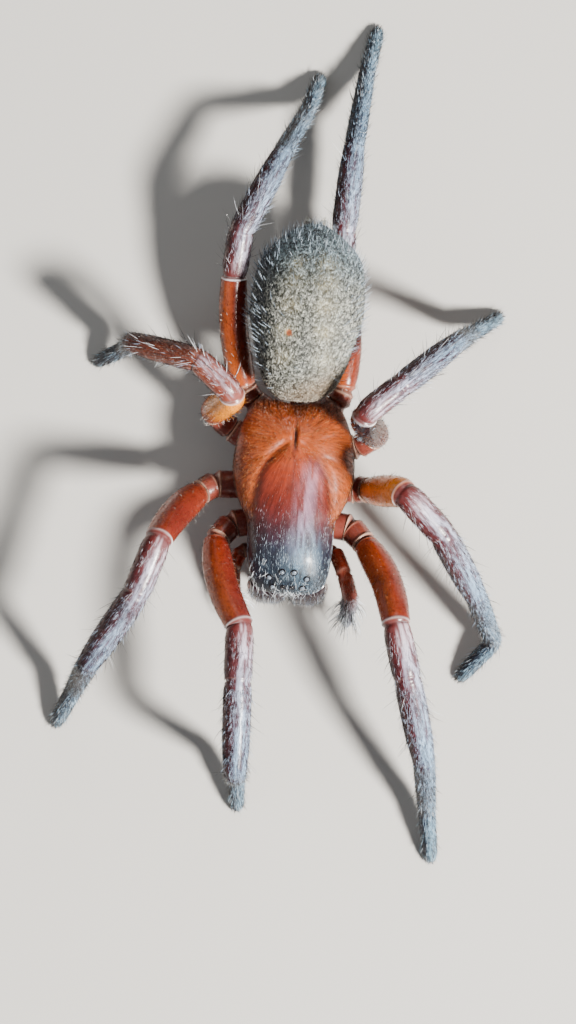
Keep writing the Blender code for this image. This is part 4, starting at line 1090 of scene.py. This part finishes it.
def limb_skin(corners, tables, corner_radius, scale, joints, colours, around, bend=None,
              painted_highlight_strength=1.0, painted_gleam_strength=0.0, painted_side_light=0.0, painted_shine_start=PAINTED_SHINE_START):
    """The skin of a limb, with a dip and a raised rim at each joint."""
    places, marks = rounded_path(corners, corner_radius)
    if bend is not None:
        places = places + np.sin(math.pi * np.clip(marks - 2.0, 0.0, 1.0))[:, None] * bend
    steps = np.linalg.norm(np.diff(places, axis=0), axis=1)
    distance = np.concatenate(([0.0], np.cumsum(steps)))
    up, across = carried_frame(places)
    index = np.clip(np.floor(marks).astype(int), 0, len(tables) - 1)
    radius = np.array([profile(tables[i], m - i) for i, m in zip(index, marks)]) * scale
    angle = np.linspace(0.0, 2.0 * math.pi, around, endpoint=False)
    back = np.cos(angle)[None]
    wheel = back[..., None] * up[:, None] + np.sin(angle)[None, :, None] * across[:, None]
    grid_radius = np.repeat(radius[:, None], around, axis=1)
    plain = places[:, None] + grid_radius[..., None] * wheel
    spread = np.linalg.norm(np.gradient(plain, axis=0), axis=-1)
    spread = spread / np.linalg.norm(np.gradient(places, axis=0), axis=1)[:, None]
    narrow = np.clip(1.0 / np.maximum(spread, 1e-3), 0.0, 1.0) ** 2.5
    tints = np.repeat(colour_along(colours, marks)[:, None], around, axis=1)
    for number, (depth, rim, rim_colour, strength) in enumerate(joints):
        gap = distance - np.interp(number + 1.0, marks, distance)
        here = scale * (0.5 + 0.5 * radius[np.argmin(np.abs(gap))] / THICK_JOINT_RADIUS)
        near, far, width = INNER_JOINT if number < 2 else OUTER_JOINT
        dip = bell(gap, 0.5 * (near + 0.02) * here)[:, None] * (1.0 - 0.45 * back)
        lip = bell(gap + near * here, 0.8 * width)[:, None] * (0.75 + 0.25 * back)
        far_lip = bell(gap - 0.12 * here, 0.045)[:, None]
        grid_radius = grid_radius * (1.0 - depth * dip) + rim * (lip + far * far_lip)
        ring = bell(gap + near * here, width)
        pale = (ring / ring.max() + far * bell(gap - 0.11 * here, 0.8 * width))[:, None]
        pale = 1.5 * strength * pale * (0.75 + 0.25 * back) * narrow
        dark = 0.8 * strength * bell(gap, width)[:, None] * narrow
        tints = painted(tints, (rim_colour * 0.25, dark), (rim_colour, np.clip(pale, 0, 1)))
    tip = np.clip((distance[-1] - distance)[:, None] / TIP_ROUNDING, 0.0, 1.0)
    root = np.clip(distance[:, None] / ROOT_ROUNDING, 0.0, 1.0)
    grid_radius = grid_radius * np.sqrt(tip * (2.0 - tip)) * np.sqrt(root)
    grid_radius[0] = grid_radius[-1] = 1e-4
    rings = places[:, None] + grid_radius[..., None] * wheel
    rings[..., 2] = np.maximum(rings[..., 2], SKIN_CLEARANCE)
    grain = np.stack(np.broadcast_arrays(
        marks[:, None] * FIBRE_GRAIN_ALONG, np.cos(angle) * FIBRE_GRAIN_AROUND,
        np.sin(angle) * FIBRE_GRAIN_AROUND), axis=-1)
    fibres = 0.10 + 0.90 * smooth(0.36, 0.60, noise(grain, 1.0, 12))
    under = np.broadcast_to(smooth(0.2, -0.9, back), grid_radius.shape)
    # Painted light on the femur: darker red on the side towards the key light, clear amber on the side
    # away from it, as light shining through.
    painted_side_mask = painted_side_light * (smooth(1.98, 2.1, marks) * smooth(3.02, 2.9, marks))[:, None]
    # Painted highlight: silvery colour on the side of the outer segments that faces the key light; the
    # silvery hair is real, the band's place is painted light.
    painted_highlight = smooth(0.60, 0.97, wheel @ PAINTED_LIGHT_AIM) * smooth(2.99, painted_shine_start, marks)[:, None]
    # Painted highlight: a small pale glint near the femur's root, on the side towards the light.
    painted_gleam = bell(marks - 2.24, 0.22)[:, None] * smooth(0.80, 0.99, wheel @ PAINTED_GLEAM_AIM)
    skin = Skin(rings, painted(
        tints, (tints * 0.8 + UNDERSIDE_TINT * 0.2, 0.25 * under),
        (FEMUR_LIT_SIDE_RED, 0.66 * painted_side_mask * smooth(0.10, 0.85, wheel @ LIT_SIDE_AIM)),
        (FEMUR_LIGHT_THROUGH_AMBER, 0.50 * painted_side_mask * smooth(0.10, 0.85, wheel @ LIGHT_THROUGH_AIM)),
        (colour_along(PAINTED_SHINE, marks)[:, None], 0.86 * painted_highlight_strength * painted_highlight * fibres),
        (PAINTED_GLEAM, painted_gleam_strength * painted_gleam * fibres)))
    skin.marks, skin.back = marks, back
    return skin


def mixed_tints(spots, rng, light, dark, dark_share, painted_shade_share=0.60):
    """Hair colours: shades of a light colour, or of a scale of them, among dark hairs; past the femur,
    hairs that face away from the light are more often dark, as painted shade.
    """
    full = colour_along(light, spots["mark"]) if isinstance(light, list) else light
    count = len(spots["root"])
    base = blend(full * 0.45, full, rng.random(count))
    clump = smooth(0.30, 0.70, noise(spots["root"], CLUMP, 22))
    # Painted shade: hairs that face away from the light are more often dark.
    facing_away_from_light = smooth(0.90, 0.15, spots["normal"] @ PAINTED_LIGHT_AIM) * (spots["mark"] > 3.0)
    share = dark_share * (1.45 - 1.3 * clump) + painted_shade_share * facing_away_from_light
    return blend(base, dark, rng.random(count) < share)


def limb_hair(limb, skin, materials, rng, part, count, span, rise, tip_rise, length, radius, tint,
              slot, material, joints=2, back_only=0.0, patella=1.0):
    """Hairs between two running length numbers of a limb, lying towards its tip."""
    inside = ((skin.marks >= span[0]) & (skin.marks <= span[1]))[:, None]
    inside = inside * np.where((skin.marks > 3.0) & (skin.marks < 4.05), patella, 1.0)[:, None]
    density = inside * (1.0 - back_only + back_only * smooth(-0.2, 0.7, skin.back))
    spots = skin.scatter(count, density, rng)
    spots["mark"] = np.interp(spots["row"], np.arange(skin.rows), skin.marks)
    lean = spots["along"] + 0.16 * rng.normal(size=(count, 3))
    tints = mixed_tints(spots, rng, *tint)
    heights, lengths = rng.uniform(*rise, count), rng.uniform(*length, count)
    root = spots["root"][:, 2] = np.maximum(spots["root"][:, 2], HAIR_CLEARANCE)
    down = spots["normal"][:, 2] * np.sin(heights) * lengths + lean[:, 2] * np.cos(heights) * lengths
    room = np.clip((root - HAIR_CLEARANCE) / np.maximum(-down, 1e-6), 0.0, 1.0)
    lengths = np.where(down < 0.0, lengths * np.clip(room, 0.15, 1.0), lengths)
    hair_mesh(f"coat_{limb}_{part}", spots, lean, heights, tip_rise, lengths, radius, tints,
              materials[material], joints)


def leg_coats(number, in_shade):
    """A leg's coats: name, count, span, rise, rise of the tip, length, radius, colours, slot,
    material, joints, share on the back only and share left on the patella."""
    third = number == 3
    # The leg in shade takes fewer, browner tibia hairs and an amber knee tuft, as painted shade.
    rows = [
        ("femur", 1300, (1.0, 2.95), (0.10, 0.45), 0.1, (0.10, 0.24), 0.0040,
         (srgb(168, 92, 40), srgb(40, 14, 10), 0.65), "femora", "soft_hair", 1),
        ("tibia", 3000 if in_shade else 5200, (3.08, 5.0), (0.06, 0.40), 0.05, (0.12, 0.26), 0.0052,
         (SHADED_LEG_HAIR if in_shade else SILVER, srgb(44, 18, 24), 0.50), "tibiae", "fine_hair", 1,
         0.35, 0.35),
        ("foot", 6600, (5.0, 6.98), (0.10, 0.55), 0.12, (0.12, 0.26), 0.0060,
         (SILVER, srgb(16, 18, 28), 0.48), "feet", "fine_hair", 1),
        ("long", 620, (3.4, 6.95), (0.45, 0.95), 0.5, (0.22, 0.44), 0.0062,
         (SILVER, BRISTLE, 0.45), "tibiae", "fine_hair", 2, 0.0, 0.4),
        ("brush", 300, (5.5, 6.97), (0.60, 1.10), 0.4, (0.20, 0.36), 0.0056,
         (srgb(226, 238, 248), BRISTLE, 0.30), "feet", "fine_hair"),
        ("spines", 20, (3.3, 6.2), (0.40, 0.80), 0.30, (0.50, 0.80), 0.0125,
         (srgb(60, 50, 50), BRISTLE, 0.7), "tibiae", "bristle", 3),
        ("erect", 34, (3.1, 4.9), (0.8, 1.3), 0.9, (0.50, 0.85), 0.0100 if third else 0.0070,
         (srgb(236, 240, 246), BRISTLE, 0.15 if third else 0.6), "tibiae", "bristle", 3, 0.7),
        ("knee", 240 if in_shade else 210, (2.3, 2.97), (0.5, 1.2), 0.2, (0.18, 0.36), 0.0078,
         (srgb(190, 120, 40) if in_shade else srgb(196, 220, 242), BRISTLE, 0.5), "femora",
         "fine_hair"),
        ("hip", 110, (1.6, 2.7), (0.5, 1.2), 0.6, (0.12, 0.34), 0.0066,
         (srgb(226, 218, 210), BRISTLE, 0.55), "femora", "bristle", 3),
    ]
    return [row for row in rows if third or row[0] != "knee"]


CLAW_RINGS = 8
CLAW_CORNERS = 6
CLAW_LENGTH = 0.20
CLAW_SPREAD = 0.05
CLAW_ARCH = 0.05
CLAW_RADIUS = 0.026


def add_claws(name, tip, heading, materials):
    """Two curved claws under the tip of a leg, as one small joined piece."""
    flat = unit(heading * (1.0, 1.0, 0.0))
    side = np.array((-flat[1], flat[0], 0.0))
    bend = np.linspace(0.0, 1.0, CLAW_RINGS)[:, None]
    turn = 2 * math.pi * np.arange(CLAW_CORNERS)[:, None] / CLAW_CORNERS
    wide = (CLAW_RADIUS * (1.0 - bend) + 0.003)[:, None]
    size = CLAW_RINGS * CLAW_CORNERS
    claws, faces = [], []
    for base, mirror in ((0, -1), (size, 1)):
        root = tip + UP * 0.02 + side * mirror * CLAW_SPREAD - flat * 0.04
        path = root + flat * (CLAW_LENGTH * np.sin(bend * 1.5)) + side * mirror * CLAW_SPREAD * bend
        path = path + UP * (CLAW_ARCH * np.sin(bend * math.pi) - (tip[2] - 0.012) * bend ** 2)
        claws.append(path[:, None] + side * wide * np.cos(turn) + UP * wide * np.sin(turn))
        last = base + size - CLAW_CORNERS
        for a in range(base, last):
            b = a + 1 if (a + 1) % CLAW_CORNERS else a + 1 - CLAW_CORNERS
            faces += [(a, b, b + CLAW_CORNERS), (a, b + CLAW_CORNERS, a + CLAW_CORNERS)]
        for corner in range(1, CLAW_CORNERS - 1):
            faces += [(base, base + corner + 1, base + corner),
                      (last, last + corner, last + corner + 1)]
    vertices = np.array(claws).reshape(-1, 3)
    vertices[:, 2] = np.maximum(vertices[:, 2], FLOOR_CLEARANCE)
    tints = np.broadcast_to(srgb(26, 20, 22), vertices.shape)
    new_object(name, vertices, [np.array(faces)], materials["dark_shell"], tints)


def add_leg(pose, materials, rng):
    """One leg: its skin, its coats and its claws."""
    number, side = leg = pose[:2]
    # The right third leg stands in shade: browner colours, fewer and browner hairs and a weaker
    # painted highlight, as painted shade.
    in_shade = leg == (3, "right")
    corners = leg_corners(pose)
    corners[0] = corners[0] - unit(corners[1] - corners[0]) * 0.35
    colours = limb_colours(SHADED_OUTER_COLOURS if in_shade else OUTER_COLOURS, *FEMUR_TINTS[leg])
    skin = limb_skin(corners, RADIUS_TABLES, CORNER_RADIUS, LEG_RADIUS_SCALE[number], JOINTS,
                     colours, 40, femur_bend(pose), 0.6 if in_shade else 1.0,
                     0.8 if leg == (1, "right") else 0.0, PAINTED_SIDE_LIGHT.get(leg, 1.0),
                     LATE_PAINTED_SHINE.get(leg, PAINTED_SHINE_START))
    base = f"leg_{number}_{side}"
    nodes = [f"{base}_{part}" for part in ("coxa", "femur", "tibia", "foot")]
    skin.build(base, "femora", materials["leg_shell"], nodes)
    for row in leg_coats(number, in_shade):
        limb_hair(base, skin, materials, rng, *row)
    add_claws(f"claws_{number}_{side}", corners[-1], corners[-1] - corners[-2], materials)


# Palps

PALP_LINES = {
    "left": [
        (1.02, -2.80, 1.72), (1.66, -2.76, 2.02), (1.98, -3.50, 3.00),
        (2.24, -4.30, 2.45), (2.14, -5.30, 1.20),
    ],
    "right": [
        (-1.02, -2.80, 1.72), (-1.72, -2.86, 1.80), (-1.98, -3.50, 1.78),
        (-1.94, -4.30, 1.30), (-1.72, -5.15, 0.46),
    ],
}
PALP_RADIUS = [(0.00, 0.22), (0.15, 0.27), (0.45, 0.26), (0.80, 0.27), (1.00, 0.16)]
PALP_CORNER_RADIUS = 0.30
PALP_JOINTS = [
    (0.14, 0.020, srgb(150, 116, 98), 0.8), (0.14, 0.018, srgb(186, 164, 150), 0.7),
    (0.12, 0.012, srgb(140, 92, 80), 0.5),
]
PALP_COLOURS = [
    (0.0, COXA), (0.9, COXA), (1.1, srgb(140, 44, 18)), (2.4, srgb(148, 52, 22)),
    (3.0, PATELLA), (3.4, METATARSUS), (4.0, TARSUS),
]


# Part, count, span, rise, rise of the tip, length, radius, colours, slot, material, joints
PALP_COATS = [
    ("fine", 700, (1.2, 3.1), (0.10, 0.5), 0.15, (0.10, 0.22), 0.0040,
     (srgb(206, 150, 120), srgb(50, 20, 14), 0.5), "palps", "fine_hair"),
    ("tip", 1500, (2.9, 3.98), (0.15, 0.6), 0.2, (0.12, 0.28), 0.0046,
     (SILVER, srgb(30, 32, 44), 0.42, 0.20), "palps", "fine_hair"),
    ("bristles", 150, (3.1, 3.98), (0.50, 1.1), 0.2, (0.55, 1.10), 0.0130,
     (srgb(236, 244, 252), BRISTLE, 0.34, 0.10), "palps", "bristle", 3),
]


def add_palp(side, materials, rng):
    """One palp: its skin and its coats."""
    corners = [np.array(corner) for corner in PALP_LINES[side]]
    corners[0] = corners[0] * np.array((0.6, 1.0, 1.0))
    parts = len(corners) - 1
    places = np.linspace(0.0, 1.0, 5)
    tables = [list(zip(places, profile(PALP_RADIUS, (part + places) / parts)))
              for part in range(parts)]
    skin = limb_skin(corners, tables, PALP_CORNER_RADIUS, 1.0, PALP_JOINTS, PALP_COLOURS, 36,
                     painted_highlight_strength=0.8)
    name = f"palp_{side}"
    skin.build(f"{name}_skin", "palps", materials["leg_shell"], [name])
    for row in PALP_COATS:
        limb_hair(name, skin, materials, rng, *row)


# Jaws and mouthparts

CHELICERA_TOE = 0.96
CHELICERA_TOP = 3.50
CHELICERA_FRONT = [
    (0.96, -4.24), (1.40, -4.43), (2.00, -4.58), (2.55, -4.64), (2.94, -4.56), (3.25, -4.34),
    (3.50, -4.02),
]
CHELICERA_BACK = [(0.96, -3.90), (1.40, -3.70), (2.00, -3.42), (2.55, -3.34), (2.94, -3.46)]
CHELICERA_HALF_WIDTH = [(0.96, 0.48), (1.40, 0.56), (2.00, 0.63), (2.55, 0.66), (3.50, 0.60)]
CHELICERA_MIDDLE = [(0.96, 0.64), (1.40, 0.67), (2.00, 0.70), (2.94, 0.71)]
CHELICERA_TOE_BLUNTNESS = 3.2
CHELICERA_BOXINESS = 0.82
CHELICERA_FRONT_BOXINESS = 0.86
INNER_BOXINESS = 0.68
BOSS_PLACE = (1.33, -4.02, 2.76)
BOSS_HEIGHT = 0.07
JAW_LEAN = (0.0, -0.55, -1.0)
FANG_PATH = [(0.76, -3.94, 1.05), (0.76, -4.10, 0.66), (0.60, -4.14, 0.36), (0.24, -3.90, 0.22)]
FANG_RADII = [[(0.0, 0.17), (1.0, 0.165)], [(0.0, 0.165), (1.0, 0.11)], [(0.0, 0.11), (1.0, 0.015)]]
FANG_COLOURS = shades((0.0, 70, 24, 16), (1.0, 52, 16, 12), (3.0, 18, 8, 8))


def jaw_section(z, across, forward):
    """Points of the left chelicera at heights on it, for cosine and sine round each section."""
    share = np.minimum((z - CHELICERA_TOE) / 1.98, 0.5)
    scale = end_rounding(share, CHELICERA_TOE_BLUNTNESS)
    scale = scale * np.sqrt(np.clip((CHELICERA_TOP - z) / 0.12, 0.0, 1.0))
    front, back = profile(CHELICERA_FRONT, z), profile(CHELICERA_BACK, z)
    square = np.where(across < 0.0, INNER_BOXINESS, 1.0)
    x = profile(CHELICERA_MIDDLE, z) + (profile(CHELICERA_HALF_WIDTH, z) * scale
                                        * signed_power(across, CHELICERA_BOXINESS * square))
    y = (front + back) / 2 - ((back - front) / 2 * scale
                              * signed_power(forward, CHELICERA_FRONT_BOXINESS * square))
    return np.stack([x, y, z], axis=-1)


def add_jaws(materials, rng):
    """Both chelicerae with boss, hairs and fang."""
    def down_tint(spots):
        count = len(spots["root"])
        grey = blend(srgb(70, 84, 104), srgb(190, 204, 220), rng.random(count) ** 3)
        return blend(grey, srgb(22, 20, 24), rng.random(count) < 0.62)

    bristle_tint = either(srgb(40, 36, 38), srgb(220, 224, 230), 0.4, rng)
    for side, mirror in SIDES:
        grid = ball_grid(jaw_section, CHELICERA_TOP, CHELICERA_TOE, 90, 80)
        boss = bell(np.linalg.norm(grid - BOSS_PLACE, axis=-1), 0.17)
        tints = painted(srgb(34, 20, 26), (srgb(70, 26, 20), smooth(3.0, 1.2, grid[..., 2])),
                        (srgb(126, 58, 30), boss))
        grid[..., 0] += BOSS_HEIGHT * boss
        grid[..., 0] *= mirror
        skin = Skin(grid, tints)
        skin.build(f"jaw_{side}", "chelicerae", materials["dark_shell"], [f"chelicera_{side}"])
        front = smooth(-3.9, -4.5, grid[..., 1])
        coat(f"coat_jaw_{side}", skin, 1500, 0.15 + front, down_tint, JAW_LEAN, (0.3, 0.9), 0.25,
             (0.12, 0.26), 0.0046, "chelicerae", materials["fine_hair"], rng)
        coat(f"coat_jaw_bristles_{side}", skin, 70, front, bristle_tint, JAW_LEAN, (0.5, 1.1), 0.4,
             (0.28, 0.50), 0.0070, "chelicerae", materials["bristle"], rng, 3)
        corners = [np.array((mirror * x, y, z)) for x, y, z in FANG_PATH]
        fang = limb_skin(corners, FANG_RADII, 0.22, 1.0, [], FANG_COLOURS, 24, painted_highlight_strength=0.0)
        fang.build(f"fang_{side}_blade", "fangs", materials["dark_shell"], [f"fang_{side}"])


# Middle, half sizes and toe-in in degrees
MOUTHPARTS = {
    "labium": ((0.0, -2.50, 1.52), (0.30, 0.45, 0.22), 0.0),
    "endite_left": ((0.52, -2.68, 1.62), (0.32, 0.52, 0.28), 18.0),
    "endite_right": ((-0.52, -2.68, 1.62), (0.32, 0.52, 0.28), -18.0),
}
MOUTHPART_BLUNTNESS = 2.6


def add_mouthparts(materials, rng):
    """The labium and the two endites beside it."""
    for name, (centre, half, toe_in) in MOUTHPARTS.items():
        turn = math.radians(toe_in)

        def section(y, across, up):
            t = np.clip(y / half[1], -1.0, 1.0)
            scale = (1.0 - np.abs(t) ** MOUTHPART_BLUNTNESS) ** (1 / MOUTHPART_BLUNTNESS)
            x = half[0] * scale * across * (1.0 + 0.15 * t)
            z = half[2] * scale * signed_power(up, 0.9)
            return np.stack([centre[0] + x * math.cos(turn) - y * math.sin(turn),
                             centre[1] + x * math.sin(turn) + y * math.cos(turn),
                             centre[2] + z], axis=-1)

        grid = ball_grid(section, half[1], -half[1], 44, 48)
        pale = smooth(centre[1] - 0.2, centre[1] - half[1], grid[..., 1])
        skin = Skin(grid, blend(srgb(116, 50, 32), srgb(186, 150, 120), 0.7 * pale))
        nodes = ["mouthparts"] if name == "labium" else []
        skin.build(name, "mouthparts", materials["leg_shell"], nodes)
        coat(f"coat_{name}", skin, 220, (grid[..., 1] < centre[1]) * 1.0 + 0.1,
             srgb(110, 92, 78), (0.0, -1.0, -0.3), (0.3, 0.9), 0.3, (0.10, 0.22), 0.0085,
             "mouthparts", materials["fine_hair"], rng)


# Stage

PHOTO_SIZE = (576, 1024)
PHOTO_SCALE = 0.035
BODY_ORIGIN_PIXEL = (293.5, 472.0)
CAMERA_ROLL_DEGREES = 3.0
CAMERA_DISTANCE = 112.0
CAMERA_FOCUS_HEIGHT = 3.5
SENSOR = 36.0
# Name, place, size, power and colour, in metres and watts
LIGHTS = [
    ("key", (0.16, -0.10, 0.19), 0.050, 3.6, (1.0, 0.965, 0.91)),
    ("fill", (-0.20, -0.04, 0.18), 0.22, 0.12, (0.84, 0.92, 1.0)),
    ("back", (0.02, 0.24, 0.16), 0.16, 0.20, (1.0, 0.98, 0.95)),
]
FLOOR_SIZE = 1.2
FLOOR_COLOUR = (0.47, 0.455, 0.43, 1.0)
SKY_COLOUR = (0.92, 0.95, 1.0, 1.0)
SKY_STRENGTH = 0.17


def add_camera():
    """Straight above the spider, with the photograph's framing and its slight roll."""
    roll = math.radians(CAMERA_ROLL_DEGREES)
    dx = (PHOTO_SIZE[0] / 2 - BODY_ORIGIN_PIXEL[0]) * PHOTO_SCALE
    dy = -(PHOTO_SIZE[1] / 2 - BODY_ORIGIN_PIXEL[1]) * PHOTO_SCALE
    place = np.array((dx * math.cos(roll) - dy * math.sin(roll),
                      dx * math.sin(roll) + dy * math.cos(roll),
                      CAMERA_FOCUS_HEIGHT + CAMERA_DISTANCE))
    data = bpy.data.cameras.new("camera")
    data.sensor_width = SENSOR
    half_view = PHOTO_SIZE[1] * PHOTO_SCALE / 2
    data.lens = SENSOR / 2 * CAMERA_DISTANCE / half_view
    data.clip_start = 0.005
    data.clip_end = 10.0
    camera = bpy.data.objects.new("camera", data)
    camera.location = Vector((place + FRAME_SHIFT) * MM)
    camera.rotation_euler = (0.0, 0.0, roll)
    bpy.context.scene.collection.objects.link(camera)
    bpy.context.scene.camera = camera


def add_light(name, place, size, power, colour):
    """A round soft light that looks at the middle of the floor."""
    data = bpy.data.lights.new(name, "AREA")
    data.shape = "DISK"
    data.size = size
    data.energy = power
    data.color = colour
    light = bpy.data.objects.new(name, data)
    light.location = place
    light.rotation_euler = (-Vector(place)).to_track_quat("-Z", "Y").to_euler()
    bpy.context.scene.collection.objects.link(light)


def add_stage():
    """Pale floor, three soft lights and a dim sky."""
    s = Shader("floor", 0.7)
    s.bsdf.inputs["Base Color"].default_value = FLOOR_COLOUR
    bpy.ops.mesh.primitive_plane_add(size=FLOOR_SIZE)
    floor = bpy.context.object
    floor.name = "floor"
    floor.data.materials.append(s.material)
    for light in LIGHTS:
        add_light(*light)
    world = bpy.data.worlds.new("studio")
    world.use_nodes = True
    background = world.node_tree.nodes["Background"]
    background.inputs["Color"].default_value = SKY_COLOUR
    background.inputs["Strength"].default_value = SKY_STRENGTH
    bpy.context.scene.world = world


def main():
    rng = np.random.default_rng(SEED)
    add_camera()
    add_stage()
    materials = {
        "carapace": carapace_material(),
        "leg_shell": shell_material("leg_shell", 0.22, 0.36, 0.005, 0.05, 0.14),
        "dark_shell": shell_material("dark_shell", 0.18, 0.34, 0.004, 0.05, 0.5),
        "abdomen": abdomen_material(),
        "fine_hair": hair_material("fine_hair", 0.30, 0.8),
        "soft_hair": hair_material("soft_hair", 0.55, 0.25),
        "bristle": hair_material("bristle", 0.26, 0.8),
        "eye": eye_material(),
    }
    add_carapace(materials, rng)
    add_eyes(materials)
    add_trunk(materials, rng)
    add_abdomen(materials, rng)
    add_spinnerets(materials, rng)
    for pose in LEG_POSES:
        add_leg(pose, materials, rng)
    for side, _ in SIDES:
        add_palp(side, materials, rng)
    add_jaws(materials, rng)
    add_mouthparts(materials, rng)


main()
